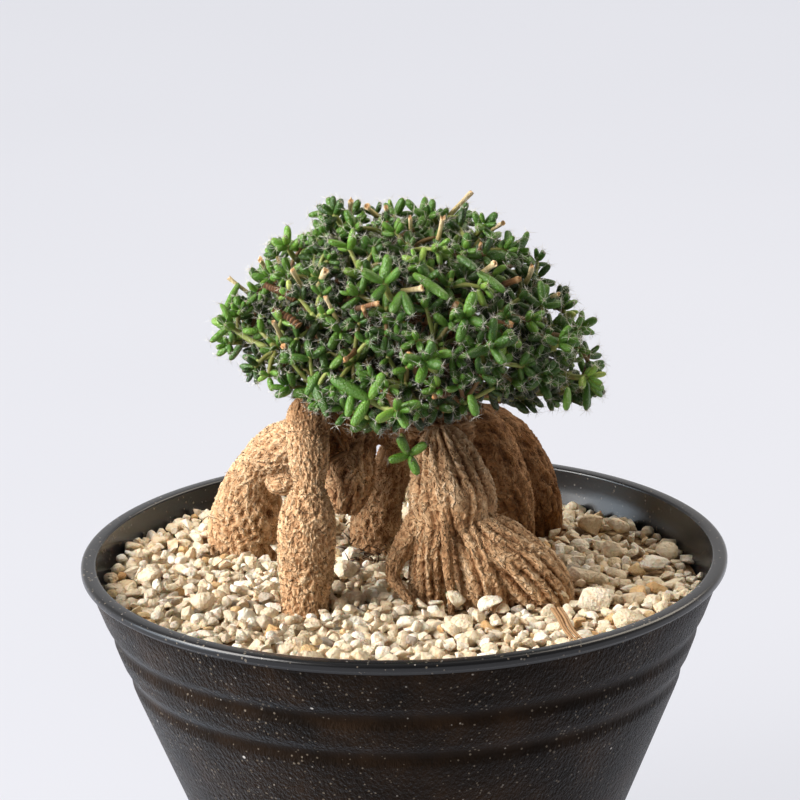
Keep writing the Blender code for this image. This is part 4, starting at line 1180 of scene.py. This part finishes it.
def sliver_surface():
    surface = Surface("bark_sliver", roughness=0.85, Specular_IOR_Level=0.15)
    tone = surface.attribute("tone")
    tan = surface.ramp(tone, (0.0, 60, 40, 26), (0.3, 160, 120, 82), (1.0, 226, 190, 150))
    surface.colour(surface.patched(tan, (110, 84, 58), surface.noise(0.5), 0.3, 0.7, 0.35))
    return surface.material


def make_caudex():
    bark = tuber_surface()
    slivers = Shape()
    draw = np.random.default_rng(SEEDS["slivers"])
    made = []
    for name, (voxel, members) in CAUDEX_PIECES.items():
        tubers = [Tuber(member) for member in members]
        mesh = joined_skin(name, tubers, voxel)
        wrinkle(mesh, tubers)
        mesh.materials.clear()
        mesh.materials.append(bark)
        made.append(dressed(name, mesh, "caudex"))
        make_slivers(slivers, mesh, tubers, SLIVERS[name], draw)
    add_flakes(slivers, draw)
    add_dry_root(slivers, draw)
    slivers.piece("bark_slivers", [sliver_surface()], "caudex", "caudex")
    return made


# Gravel


def stone_shape(draw, corners):
    """A rough convex stone of half size 1 with worn edges, as points and faces."""
    shell = bmesh.new()
    for _ in range(corners):
        direction = Vector([draw.gauss(0, 1) for _ in range(3)]).normalized()
        shell.verts.new(direction * draw.uniform(0.85, 1.0))
    hull = bmesh.ops.convex_hull(shell, input=shell.verts)
    loose = [part for part in hull["geom_interior"] if isinstance(part, bmesh.types.BMVert)]
    bmesh.ops.delete(shell, geom=loose, context="VERTS")
    bmesh.ops.dissolve_limit(shell, angle_limit=math.radians(24), verts=shell.verts, edges=shell.edges)
    edges = {"geom": list(shell.edges), "affect": "EDGES"}
    bmesh.ops.bevel(shell, **edges, offset=0.17, segments=1, profile=0.5, clamp_overlap=True)
    bmesh.ops.triangulate(shell, faces=shell.faces)
    shell.verts.index_update()
    points = np.array([vertex.co[:] for vertex in shell.verts])
    faces = [[vertex.index for vertex in face.verts] for face in shell.faces]
    shell.free()
    return points, faces


def gravel_level(x):
    return GRAVEL_LEVEL + GRAVEL_TILT * x


def stone_half_size(draw):
    sizes, shares = zip(*STONE_SIZES)
    return draw.choices(sizes, shares)[0] * draw.uniform(0.88, 1.12)


class Bed:
    """Height of the stones laid so far, on a square grid over the pot's mouth."""

    def __init__(self):
        count = int(2 * RIM_RADIUS / BED_CELL) + 1
        self.axis = (np.arange(count) - count // 2) * BED_CELL
        self.heights = np.full((count, count), BED_TOP)

    def window(self, x, y, radius):
        """Slices of the grid round a place, and the squared distance from it over the radius."""
        reach = int(radius / BED_CELL) + 1
        middle = len(self.axis) // 2
        column = middle + round(x / BED_CELL)
        row = middle + round(y / BED_CELL)
        rows = slice(row - reach, row + reach + 1)
        columns = slice(column - reach, column + reach + 1)
        square = (self.axis[rows, None] - y) ** 2 + (self.axis[None, columns] - x) ** 2
        return (rows, columns), square / radius**2

    def rest(self, x, y, radius):
        part, square = self.window(x, y, radius)
        return float(np.percentile(self.heights[part][square < 1], 60))

    def capped(self, x, y, z, radius, half_height):
        """The grid's part under a stone, where the stone covers it, and the stone's top there."""
        part, square = self.window(x, y, radius)
        return part, square < 1, z + half_height * np.sqrt(np.maximum(1 - square, 0.0))

    def lay(self, x, y, z, half, half_height):
        part, covered, cap = self.capped(x, y, z, half * 0.95, half_height)
        self.heights[part] = np.where(covered, np.maximum(self.heights[part], cap), self.heights[part])

    def shows(self, x, y, z, half, half_height):
        part, covered, cap = self.capped(x, y, z, half * 0.8, half_height)
        return bool(np.any(covered & (cap > self.heights[part] - 0.35)))


def lowest_place(bed, half, draw):
    """The lowest of a few places for a stone: its height over the gravel's level, x and y."""
    inner = wall_radius(GRAVEL_LEVEL) - WALL - half
    best = None
    for _ in range(STONE_PLACES):
        distance = inner * math.sqrt(draw.random())
        angle = draw.uniform(0, math.tau)
        x = distance * math.cos(angle)
        y = distance * math.sin(angle)
        rest = bed.rest(x, y, half * 0.8) - gravel_level(x)
        if best is None or rest < best[0]:
            best = (rest, x, y)
    return best


def lay_stones(wood):
    """Places and sizes of the stones that show, the marked ones first and then the dropped ones."""
    draw = random.Random(SEEDS["stones"])
    bed = Bed()
    stones = []
    for pixel, half in BIG_STONES:
        x, y, _ = at_height(pixel, gravel_level(0.0))
        half_height = half * draw.uniform(*LUMP_FLATNESS)
        stones.append((x, y, gravel_level(x) + LUMP_RISE - half_height * 0.4, half, half_height))
        bed.lay(*stones[-1])
    for _ in range(STONE_TRIES):
        half = stone_half_size(draw)
        half_height = half * draw.uniform(*STONE_FLATNESS)
        rest, x, y = lowest_place(bed, half, draw)
        if rest + 2 * half_height > draw.uniform(*STONE_TOP):
            continue
        z = rest + gravel_level(x) + half_height * 0.75
        if not in_wood(wood, Vector((x, y, z)) * MM, half * 0.8):
            stones.append((x, y, z, half, half_height))
            bed.lay(*stones[-1])
    return [stone for stone in stones if bed.shows(*stone)]


def in_wood(wood, place, clearance):
    """Whether a place is inside a tuber or nearer to one than the clearance."""
    for tree in wood:
        found, normal, _, distance = tree.find_nearest(place)
        if distance / MM < clearance or (place - found).dot(normal) < 0:
            return True
    return False


def stone_surface():
    surface = Surface("gravel_stone", roughness=0.72, Subsurface_Weight=0.12, Subsurface_Scale=0.0008)
    base = surface.ramp(
        surface.attribute("tone"),
        (0.0, 158, 146, 132), (0.03, 200, 185, 162), (0.1, 232, 213, 183), (0.4, 239, 223, 193),
        (0.65, 245, 233, 209), (0.88, 248, 242, 228), (0.96, 232, 204, 156), (1.0, 214, 172, 118),
    )
    stain = surface.grade(surface.noise(1.5, 4.0), 0.52, 0.7, 0.0, 0.52)
    stained = surface.mix(stain, base, surface.mix(1.0, base, rgb(222, 190, 140), "MULTIPLY"))
    surface.colour(surface.patched(stained, (150, 118, 80), surface.noise(0.45, 2.0), 0.66, 0.74, 0.55))
    surface.bump(surface.cells(0.95), 0.24)
    surface.bump(surface.noise(0.6, 5.0), 0.45)
    return surface.material


def rotation(angle, axis):
    return np.array(Matrix.Rotation(angle, 3, axis))


def make_gravel(caudex):
    wood = [tree_of(piece) for piece in caudex]
    draw = random.Random(SEEDS["gravel"])
    shapes = [stone_shape(draw, draw.randint(*STONE_CORNERS)) for _ in range(STONE_SHAPES)]
    lumps = [stone_shape(draw, LUMP_CORNERS) for _ in range(LUMP_SHAPES)]
    shape = Shape()
    for x, y, z, half, half_height in lay_stones(wood):
        points, faces = draw.choice(lumps if half > LUMP_SIZE else shapes)
        roll = rotation(draw.uniform(0, math.tau), "Z")
        tip = rotation(draw.uniform(0, math.tau), Vector(scatter(draw, 1)))
        tipped = points @ tip.T
        tipped = tipped / np.abs(tipped).max(axis=0)
        size = np.array([*(half * draw.uniform(*widths) for widths in STONE_WIDTHS), half_height])
        lean = rotation(draw.gauss(0, STONE_LEAN), "X")
        shape.add((tipped * size) @ lean.T @ roll.T + np.array([x, y, z]), faces, tone=draw.random())
    shape.piece("gravel_stones", [stone_surface()], "gravel", "gravel", SMOOTH_ANGLES["stones"])
    make_bed()


def make_bed():
    """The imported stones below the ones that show, as a plain disc with a rough top."""
    low = wall_radius(BED_BOTTOM) - WALL - BED_GAP
    high = wall_radius(BED_TOP) - WALL - BED_GAP
    rings = [(0.5, BED_BOTTOM), (low, BED_BOTTOM)] + [(high * share, BED_TOP) for share in BED_SHARES]
    shape = Shape()
    shape.add(*turned(rings, BED_SEGMENTS))
    surface = Surface("gravel_bed", roughness=0.95)
    # painted shade: pale cells with dark brown between them, for the shade in the gaps between the lower
    # stones
    surface.colour(surface.ramp(surface.cells(2.4), (0.1, 204, 178, 138), (0.6, 120, 92, 60)))
    surface.bump(surface.cells(2.4), 1.2)
    shape.piece("gravel_bed", [surface.material], "gravel", "gravel", SMOOTH_ANGLES["bed"])


def tree_of(piece):
    shell = bmesh.new()
    shell.from_mesh(piece.data)
    tree = BVHTree.FromBMesh(shell)
    shell.free()
    return tree


# Leaves and shoots


@functools.cache
def leaf_faces():
    faces = ring_faces(len(LEAF_SHARES), LEAF_SIDES)[:-1]
    last = (len(LEAF_SHARES) - 1) * LEAF_SIDES
    tip = len(LEAF_SHARES) * LEAF_SIDES
    for side in range(LEAF_SIDES):
        faces.append([last + side, last + (side + 1) % LEAF_SIDES, tip])
    return faces


def add_leaf(shape, base, heading, axis, length, half_width, curve, tone, bristles, draw):
    """A plump leaf from its base along the heading, its upper side towards the axis."""
    heading = unit(heading)
    up = unit(axis - heading * np.dot(axis, heading))
    side = np.cross(heading, up)
    rise = curve * length * LEAF_SHARES**2
    centres = base + heading * (LEAF_SHARES * length)[:, None] + up * rise[:, None]
    girth = LEAF_GIRTHS * half_width
    thick = np.where(np.sin(LEAF_ANGLES) > 0, *LEAF_THICKNESS)
    across = side * np.cos(LEAF_ANGLES)[:, None]
    deep = up * (np.sin(LEAF_ANGLES) * thick)[:, None]
    points = centres[:, None] + (across + deep)[None] * girth[:, None, None]
    end = base + heading * length + up * curve * length
    shares = np.append(np.repeat(LEAF_SHARES, LEAF_SIDES), 1.0)
    shape.add(np.vstack([points.reshape(-1, 3), end]), leaf_faces(), tone, shares, LEAF)
    end_heading = unit(heading + up * 2 * curve)
    start = draw.uniform(0, math.tau)
    for index in range(bristles):
        angle = start + math.tau * index / bristles + draw.uniform(-0.3, 0.3)
        flare = math.radians(draw.uniform(*BRISTLE_FLARE))
        outward = side * math.cos(angle) + up * math.sin(angle)
        bristle_heading = end_heading * math.cos(flare) + outward * math.sin(flare)
        add_bristle(shape, end - end_heading * 0.1, bristle_heading, draw)


def add_bristle(shape, root, heading, draw):
    heading = unit(heading)
    one = unit(np.cross(heading, np.array([0.3, 0.5, 0.8])))
    two = np.cross(heading, one)
    points = []
    for corner in range(3):
        angle = math.tau * corner / 3
        points.append(root + (one * math.cos(angle) + two * math.sin(angle)) * BRISTLE_RADIUS)
    points.append(root + heading * draw.uniform(*BRISTLE_LENGTH))
    shape.add(points, BRISTLE_FACES, material=BRISTLE)


def square_to(axis, roll):
    """Two directions square to the axis, turned by the roll."""
    axis = unit(axis)
    guide = np.array([0.0, 0.0, 1.0]) if abs(axis[2]) < 0.8 else np.array([0.0, 1.0, 0.0])
    first = unit(guide - axis * guide.dot(axis))
    second = np.cross(axis, first)
    cosine = math.cos(roll)
    sine = math.sin(roll)
    return first * cosine + second * sine, second * cosine - first * sine


def add_pair(shape, place, axis, roll, length, rise, tone, draw, bristles=7):
    """Two leaves opposite each other round the axis."""
    axis = unit(axis)
    across, _ = square_to(axis, roll)
    for sign in (1, -1):
        angle = math.radians(rise + draw.uniform(-9, 9))
        heading = across * sign * math.cos(angle) + axis * math.sin(angle) + scatter(draw, 0.09)
        own_length = length * draw.uniform(0.88, 1.12)
        half_width = min(WIDEST_LEAF, 0.2 + 0.2 * own_length) * draw.uniform(0.88, 1.1)
        curve = draw.uniform(-0.1, 0.2)
        own_tone = min(1.0, max(0.0, tone + draw.gauss(0, 0.1)))
        base = place + across * sign * 0.35
        add_leaf(shape, base, heading, axis, own_length, half_width, curve, own_tone, bristles, draw)


def add_rosette(shape, place, axis, roll, size, draw, pairs=3):
    """Crossed pairs of leaves at a stem's end, wide below and closing above."""
    tone = draw.gauss(0.42, 0.2)
    axis = unit(axis)
    for index, (scale, rise, level) in enumerate(ROSETTE_PLAN[:pairs]):
        turned_roll = roll + math.pi / 2 * (index % 2)
        bristles = 8 if index < 2 else 5
        add_pair(shape, place + axis * level, axis, turned_roll, size * scale, rise, tone, draw, bristles)


def add_stem(shape, path, start_radius, end_radius, tone):
    radii = np.linspace(start_radius, end_radius, len(path))
    points, faces = tube(path, radii, 6)
    shares = np.repeat(np.linspace(0, 1, len(path)), 6)
    shape.add(points, faces, tone, shares, STEM)


def lowest_rise(azimuth):
    leftness = max(0.0, -math.cos(azimuth))
    return RIGHT_EDGE + LEFT_EDGE_RISE * leftness**3


def dome_tips():
    """Shoot tips spread evenly over the dome, clear of the ones that make the outline."""
    draw = random.Random(SEEDS["dome"])
    tips = [Vector(tip) for tip in OUTLINE_TIPS]
    fringe = [Vector(tip) for tip in FRINGE_TIPS]
    golden = math.pi * (3 - math.sqrt(5))
    for index in range(DOME_CANDIDATES):
        share = (index + 0.5) / DOME_CANDIDATES
        azimuth = index * golden
        lowest = math.radians(lowest_rise(azimuth))
        rise = lowest + (math.pi / 2 - lowest) * math.asin(1 - share) / (math.pi / 2)
        share_of_reach = draw.uniform(*REACH_RANGE)
        offset = Vector((
            DOME_REACH.x * math.cos(rise) * math.cos(azimuth),
            DOME_REACH.y * math.cos(rise) * math.sin(azimuth),
            DOME_REACH.z * math.sin(rise),
        ))
        tip = DOME_CENTRE + offset * share_of_reach
        if min((tip - other).length for other in tips) > TIP_SPACING:
            tips.append(tip)
    return tips + fringe


def front_share(place):
    """How near the dome's front a place lies, from 0 to 1."""
    return min(1.0, max(0.0, (DOME_CENTRE.y - place[1]) / DOME_REACH.y))


class Shoot:
    """A leafy stem: its centres from the twig outward, as in the solid model."""

    def __init__(self, number, base, tip, levels=STEM_LEVELS, bend=STEM_BEND):
        self.number = number
        lowness = min(1.0, max(0.0, 1 - (tip.z - DOME_CENTRE.z) / 20.0))
        run = tip - base + Vector((0, 0, FRONT_LIFT * front_share(tip) ** 2 * lowness))
        length = run.length - TIP_LEAF_REACH
        heading = run.normalized()
        self.levels = max(1, min(levels, int((length - SHORTEST_BARE) / LEVEL_PITCH)))
        bare = length - self.levels * LEVEL_PITCH
        distances = [0.0] + [bare + level * LEVEL_PITCH for level in range(self.levels + 1)]
        lift = Vector((0, 0, bend)) * (1 - abs(heading.z))
        centres = []
        for distance in distances:
            share = distance / length
            centres.append(base + heading * distance + lift * share * (share - 1))
        self.centres = np.array([centre[:] for centre in centres])
        self.heading = np.array(heading)
        self.roll = ROLL_A_SHOOT * number
        self.shape = Shape()

    def grow_stem(self, draw):
        """The main stem with its leaf pairs and the rosette at its end."""
        add_stem(self.shape, self.centres, *STEM_RADII, draw.random())
        tone = draw.gauss(0.43, 0.2)
        for level in range(self.levels - 1):
            place = (self.centres[level + 1] + self.centres[level + 2]) / 2
            turn = self.roll + math.pi / 2 * (level % 2)
            length = PAIR_LEAF + PAIR_GROWTH * level
            add_pair(self.shape, place, self.heading, turn, length, PAIR_RISE, tone, draw)
        size = draw.uniform(*ROSETTE_LEAF)
        add_rosette(self.shape, self.centres[-2], self.heading, self.roll, size, draw)

    def grow_side(self, crowd, draw):
        """A side shoot towards the emptiest place near the stem, if there is one, added to the crowd."""
        best = None
        for share in SIDE_STARTS:
            start = self.centres[0] + (self.centres[-1] - self.centres[0]) * share
            for step in range(SIDE_TURNS):
                roll = self.roll + math.tau * (step + draw.random()) / SIDE_TURNS
                outward, _ = square_to(self.heading, roll)
                lean = math.radians(draw.uniform(*SIDE_LEAN))
                heading = self.heading * math.cos(lean) + outward * math.sin(lean)
                tip = start + heading * draw.uniform(*SIDE_LENGTH)
                reach = np.linalg.norm((tip - np.array(DOME_CENTRE)) / np.array(DOME_REACH))
                if not SIDE_REACH[0] < reach < SIDE_REACH[1] or below_edge(tip):
                    continue
                apart = min(np.linalg.norm(crowd - tip, axis=1))
                worth = apart + 3.0 * reach
                if apart > SIDE_SPACING and (best is None or worth > best[0]):
                    best = (worth, start, tip, heading)
        if best is None:
            return crowd
        _, start, tip, heading = best
        middle = (start + tip) / 2 + self.heading * SIDE_BOW
        add_stem(self.shape, spline([start, middle, tip], 3), *SIDE_RADII, draw.random())
        roll = draw.uniform(0, math.tau)
        size = draw.uniform(*SIDE_LEAF)
        place = tip - heading * ROSETTE_DROP
        add_rosette(self.shape, place, heading, roll, size, draw, draw.choice([2, 3, 3]))
        return np.vstack([crowd, tip])


def below_edge(tip):
    """Whether a tip would hang below the dome's edge."""
    offset = Vector(tip) - DOME_CENTRE
    level = math.hypot(offset.x, offset.y)
    rise = math.degrees(math.atan2(offset.z, level))
    leftness = max(0.0, -offset.x / level)
    rightness = max(0.0, offset.x / level)
    lift = (11.0 + 24.0 * rightness) * front_share(tip)
    return rise < RIGHT_EDGE + SIDE_EDGE_RISE * leftness**2 - 3.0 + lift


def leaf_surface():
    constants = {"Subsurface_Weight": 0.12, "Subsurface_Scale": 0.0015, "Specular_IOR_Level": 0.5}
    surface = Surface("leaf_skin", roughness=0.37, **constants)
    green = surface.ramp(
        surface.attribute("tone"),
        (0.0, 36, 62, 18), (0.35, 68, 108, 32), (0.7, 108, 152, 52),
        (0.92, 150, 180, 76), (1.0, 184, 200, 104),
    )
    share = surface.attribute("share")
    shaded = surface.patched(green, (118, 158, 64), share, 0.3, 0.0, 0.45)
    spots = surface.grade(surface.cells(0.42), 0.0, 0.3, 0.6, 0.0)
    dotted = surface.mix(spots, shaded, rgb(170, 198, 138))
    tipped = surface.patched(dotted, (120, 84, 50), share, 0.965, 1.0, 0.9)
    # painted shade: leaves deep inside the dome, above its low edge, are darkened towards dark olive
    depth = surface.grade(surface.dome_reach(), *DOME_SHADE, 0.0, 0.86)
    dome_inner_shade = surface.math("MULTIPLY", depth, surface.grade(surface.height(), *SHADE_HEIGHTS))
    surface.colour(surface.mix(dome_inner_shade, tipped, rgb(27, 32, 12)))
    surface.bump(surface.cells(0.42), 0.16)
    surface.bump(surface.noise(1.2, 3.0), 0.12)
    return surface.material


def bristle_surface():
    surface = Surface("bristles", roughness=0.5)
    pale = surface.ramp(surface.noise(3.0), (0.35, 214, 205, 186), (0.65, 246, 243, 234))
    # painted shade: bristles deep inside the dome are darkened to brown
    surface.colour(surface.patched(pale, (84, 76, 52), surface.dome_reach(), *DOME_SHADE, 0.72))
    return surface.material


def stem_surface():
    surface = Surface("green_stem", roughness=0.6)
    tone = surface.attribute("tone")
    young = surface.ramp(tone, (0.0, 106, 74, 44), (0.6, 128, 138, 66), (1.0, 160, 172, 92))
    surface.colour(surface.patched(young, (112, 70, 42), surface.noise(1.4, 4.0), 0.45, 0.7, 0.5))
    surface.bump(surface.noise(0.6, 3.0, surface.stretched(1.0, 1.0, 2.5)), 0.15)
    return surface.material


def make_shoots():
    shoots = []
    for tip in dome_tips():
        base = DOME_CENTRE + (tip - DOME_CENTRE) * STEM_REACH
        shoots.append(Shoot(len(shoots), base, tip))
    shoots.append(Shoot(len(shoots), ROSETTE_BASE, ROSETTE_TIP, levels=1, bend=-1.0))
    return shoots


def dome_normal(place):
    offset = Vector(place) - DOME_CENTRE
    return Vector(offset[axis] / DOME_REACH[axis] ** 2 for axis in range(3)).normalized()


def make_marked(materials):
    """Shoots and leaves that catch the eye, each at its own place; the result is the shoots' tips."""
    draw = random.Random(SEEDS["marked"])
    shape = Shape()
    tips = []
    for base, tip, size, pairs in MARKED_SHOOTS:
        root, head = (Vector(place) for place in span_on_dome((base, tip), SHOOT_REACH))
        path = spline([root, (root + head) / 2 + Vector((0, 0, -0.6)), head], 4)
        add_stem(shape, path, *MARKED_RADII, draw.uniform(0.5, 1.0))
        heading = unit(np.array(dome_normal(head) + (head - root).normalized() * 0.8))
        tips.append(np.array(head))
        roll = draw.uniform(0, math.tau)
        add_rosette(shape, tips[-1] - heading * ROSETTE_DROP, heading, roll, size, draw, pairs)
    for base, tip, half_width in MARKED_LEAVES:
        root, end = span_on_dome((base, tip), LEAF_REACH)
        run = end - root
        normal = np.array(dome_normal(root))
        tone = draw.gauss(0.45, 0.12)
        add_leaf(shape, root, run, normal, np.linalg.norm(run), half_width, -0.08, tone, 9, draw)
    shape.piece("spray_marked", materials, "leaves")
    return np.array(tips)


def grow_lone(shoot, draw):
    """The shoot under the dome's front, with four leaves spread towards the camera."""
    heart = at_depth(LONE_HEART, LONE_DEPTH)
    path = spline([shoot.centres[0], (shoot.centres[0] + heart) / 2 + np.array([0, -1.5, 0.8]), heart], 3)
    add_stem(shoot.shape, path, 0.7, 0.6, 0.7)
    towards = unit(np.array(CAMERA_PLACE) - heart)
    for pixel in LONE_LEAVES:
        run = at_depth(pixel, LONE_DEPTH - 1.2) - heart
        length = np.linalg.norm(run) * 0.94
        tone = draw.gauss(0.6, 0.05)
        add_leaf(shoot.shape, heart + run * 0.06, run, towards, length, 1.08, 0.05, tone, 9, draw)
    add_pair(shoot.shape, heart + towards * 0.5, towards, 0.5, 2.0, 50.0, 0.6, draw)


def make_sprays(shoots):
    materials = [leaf_surface(), bristle_surface(), stem_surface()]
    crowd = np.vstack([[shoot.centres[-1] for shoot in shoots], make_marked(materials)])
    draws = [random.Random(SEEDS["sprays"] + shoot.number) for shoot in shoots]
    for shoot, draw in zip(shoots[:-1], draws):
        shoot.grow_stem(draw)
    grow_lone(shoots[-1], draws[-1])
    for _ in range(SIDE_SHOOTS):
        for shoot, draw in zip(shoots[:-1], draws):
            crowd = shoot.grow_side(crowd, draw)
    for shoot in shoots:
        shoot.shape.piece(f"spray_{shoot.number:02d}", materials, "leaves", f"shoot_{shoot.number:02d}")


# Twigs


def bark_surface():
    surface = Surface("twig_bark", roughness=0.85)
    cloud = surface.noise(1.6, 5.0)
    surface.colour(surface.ramp(cloud, (0.25, 66, 40, 24), (0.5, 118, 76, 46), (0.75, 164, 116, 76)))
    surface.bump(surface.cells(0.9, place=surface.stretched(0.6, 0.6, 1.4)), 0.35)
    surface.bump(surface.noise(0.5, 4.0), 0.2)
    return surface.material


def make_branches(shoots):
    """The trunk, limbs and twigs, thinner towards the shoots, with dry side twigs and dead leaves."""
    draw = random.Random(SEEDS["twigs"])
    shape = Shape()
    dead = Shape()
    trunk = spline([NECK - Vector((0, 0, 1.5)), NECK + Vector((0.5, 0, 3.0)), TRUNK_TOP], 5)
    shape.add(*tube(trunk, np.linspace(*TRUNK_RADII, len(trunk)), 14))
    top = np.array(TRUNK_TOP)
    for shoot in shoots:
        base = shoot.centres[0]
        offset = base - top
        swing = np.array([draw.gauss(0, 1.2), draw.gauss(0, 1.2), 1.0 + draw.gauss(0, 1.0)])
        path = spline([top + offset * 0.06, top + offset * 0.5 + swing, base], 6)
        radii = np.linspace(*LIMB_RADII, len(path)) * (1 + 0.1 * np.sin(np.arange(len(path)) * 2.1))
        shape.add(*tube(path, radii, 9))
        for _ in range(DRY_TWIGS):
            add_dry_twig(shape, dead, path, draw)
    shape.piece("twigs", [bark_surface()], "branches", "branches")
    dead.piece("dead_leaves", [dead_surface()], "branches", "branches")


def add_dry_twig(shape, dead, path, draw):
    """A short bare twig from a limb, with two shrivelled leaves at its end."""
    start = path[draw.randrange(len(path) // 2, len(path))]
    outward = unit(start - np.array(DOME_CENTRE) + np.array([0, 0, 4.0]))
    heading = unit(outward + scatter(draw, 0.7))
    end = start + heading * draw.uniform(*DRY_TWIG_LENGTH)
    if below_edge(end):
        return
    twig = spline([start, (start + end) / 2 + scatter(draw, 0.6), end], 2)
    shape.add(*tube(twig, np.linspace(*DRY_TWIG_RADII, len(twig)), 5))
    for _ in range(2):
        leaf_heading = heading + scatter(draw, 0.8)
        across, _ = square_to(heading, draw.uniform(0, math.tau))
        size = draw.uniform(*DEAD_LEAF)
        curve = draw.uniform(-0.4, 0.4)
        add_leaf(dead, end - heading * 0.3, leaf_heading, across, size, 0.7, curve, draw.random(), 0, draw)


def dead_surface():
    surface = Surface("dead_leaf", roughness=0.85)
    dry = surface.ramp(surface.attribute("tone"), (0.0, 70, 44, 26), (0.5, 124, 84, 50), (1.0, 186, 146, 98))
    surface.colour(surface.patched(dry, (84, 54, 32), surface.noise(0.8, 4.0), 0.35, 0.7, 0.6))
    surface.bump(surface.noise(0.5, 4.0), 0.3)
    return surface.material


# Old flower stalks and broken twigs


def add_stalk(shape, root, end, radius, depth, tone, draw):
    """A dry stalk, squashed and torn at its end, which is hollow to the given depth."""
    length = np.linalg.norm(end - root)
    axis = (end - root) / length
    first, second = square_to(axis, 0.0)
    angles = np.arange(STALK_SIDES) * math.tau / STALK_SIDES
    around = first * np.cos(angles)[:, None] + second * (draw.uniform(0.6, 0.95) * np.sin(angles))[:, None]
    torn = np.array([draw.uniform(-0.9, 0.6) for _ in angles]) * radius
    rings = [
        (0.0, 1.05, 0.0), (0.35 * length, 0.8, 0.4), (0.78 * length, 0.82, 0.8), (length - 0.5, 1.0, 0.88),
        (length, 0.92, 0.94), (length - depth, 0.5, 1.0),
    ]
    dents = [1 + 0.12 * draw.gauss(0, 1) for _ in rings]
    bend = second * draw.uniform(-0.35, 0.35)
    points = []
    for (along, girth, _), dent in zip(rings, dents):
        centre = root + axis * along + bend * math.sin(math.pi * along / length)
        points.append(centre + around * (radius * girth * dent))
    points[3] = points[3] + axis * torn[:, None] * 0.4
    points[4] = points[4] + axis * torn[:, None]
    points[5] = points[5] + axis * torn[::-1, None] * 0.5
    shares = np.repeat([share for _, _, share in rings], STALK_SIDES)
    shape.add(np.array(points), ring_faces(len(rings), STALK_SIDES), tone, shares)


def stalk_surface():
    surface = Surface("old_stalk", roughness=0.7)
    share = surface.attribute("share")
    straw = surface.ramp(
        share,
        (0.0, 120, 130, 66), (0.35, 196, 178, 118), (0.85, 232, 212, 168),
        (0.94, 236, 208, 164), (1.0, 206, 158, 104),
    )
    wood = surface.ramp(
        share,
        (0.0, 66, 42, 25), (0.5, 118, 80, 48), (0.84, 150, 104, 64),
        (0.93, 226, 184, 134), (1.0, 206, 150, 96),
    )
    kinds = surface.mix(surface.grade(surface.attribute("tone"), 0.45, 0.55), straw, wood)
    streaks = surface.noise(0.5, 4.0, surface.stretched(1.0, 1.0, 0.4))
    surface.colour(surface.patched(kinds, (138, 100, 62), streaks, 0.4, 0.7, 0.45))
    surface.bump(surface.noise(0.35, 3.0, surface.stretched(1.0, 1.0, 0.3)), 0.25)
    return surface.material


def make_stalks():
    draw = random.Random(SEEDS["stalks"])
    shape = Shape()
    for pixels in STRAWS:
        radius = draw.uniform(*STALK_RADIUS)
        tone = draw.uniform(*STRAW_TONE)
        add_stalk(shape, *span_on_dome(pixels, STRAW_REACH), radius, STRAW_HOLLOW, tone, draw)
    for pixel in STUBS:
        end = Vector(on_dome(pixel, draw.uniform(*STUB_REACH)))
        lean = Vector((draw.gauss(0, 0.4), draw.gauss(0, 0.4), draw.gauss(0.1, 0.4)))
        root = end - (dome_normal(end) + lean).normalized() * draw.uniform(*STUB_LENGTH)
        radius = draw.uniform(*STUB_RADIUS)
        tone = draw.uniform(*STUB_TONE)
        add_stalk(shape, np.array(root), np.array(end), radius, STUB_HOLLOW, tone, draw)
    for pixels in RINGED_TWIGS:
        add_ringed_twig(shape, *span_on_dome(pixels, RINGED_REACH))
    shape.piece("old_stalks", [stalk_surface()], "branches", smooth_angle=SMOOTH_ANGLES["stalks"])


def add_ringed_twig(shape, root, end):
    """A thick brown twig with rings of old leaf scars."""
    count = max(4, int(np.linalg.norm(end - root) / RING_PITCH))
    shares = np.linspace(0, 1, count * 2 + 1)
    sag = np.array([0, 0, 1.0]) * (0.5 * np.sin(shares * 5.0) * 0.6)[:, None]
    path = root + (end - root) * shares[:, None] + sag
    crest = np.arange(len(shares)) % 2 == 0
    radii = np.where(crest, 1.05, 0.68) * (1 - 0.2 * shares)
    points, faces = tube(path, radii, 12)
    shape.add(points, faces, 0.9, np.repeat(np.where(crest, 0.62, 0.0), 12))


# Assembly


def write_sizes():
    """Bring the scene's placements up to date."""
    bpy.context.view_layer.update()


def dress_soil():
    surface = Surface("soil_mix", roughness=0.95)
    crumbs = surface.cells(1.8)
    surface.colour(surface.ramp(crumbs, (0.1, 86, 62, 42), (0.7, 34, 24, 17)))
    surface.bump(crumbs, 0.8)
    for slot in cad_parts["soil"].material_slots:
        slot.material = surface.material


def main():
    noise.seed_set(NOISE_SEED)
    make_camera()
    light_room()
    make_floor()
    make_pot()
    dress_soil()
    caudex = make_caudex()
    make_gravel(caudex)
    shoots = make_shoots()
    make_branches(shoots)
    make_stalks()
    make_sprays(shoots)
    write_sizes()


main()
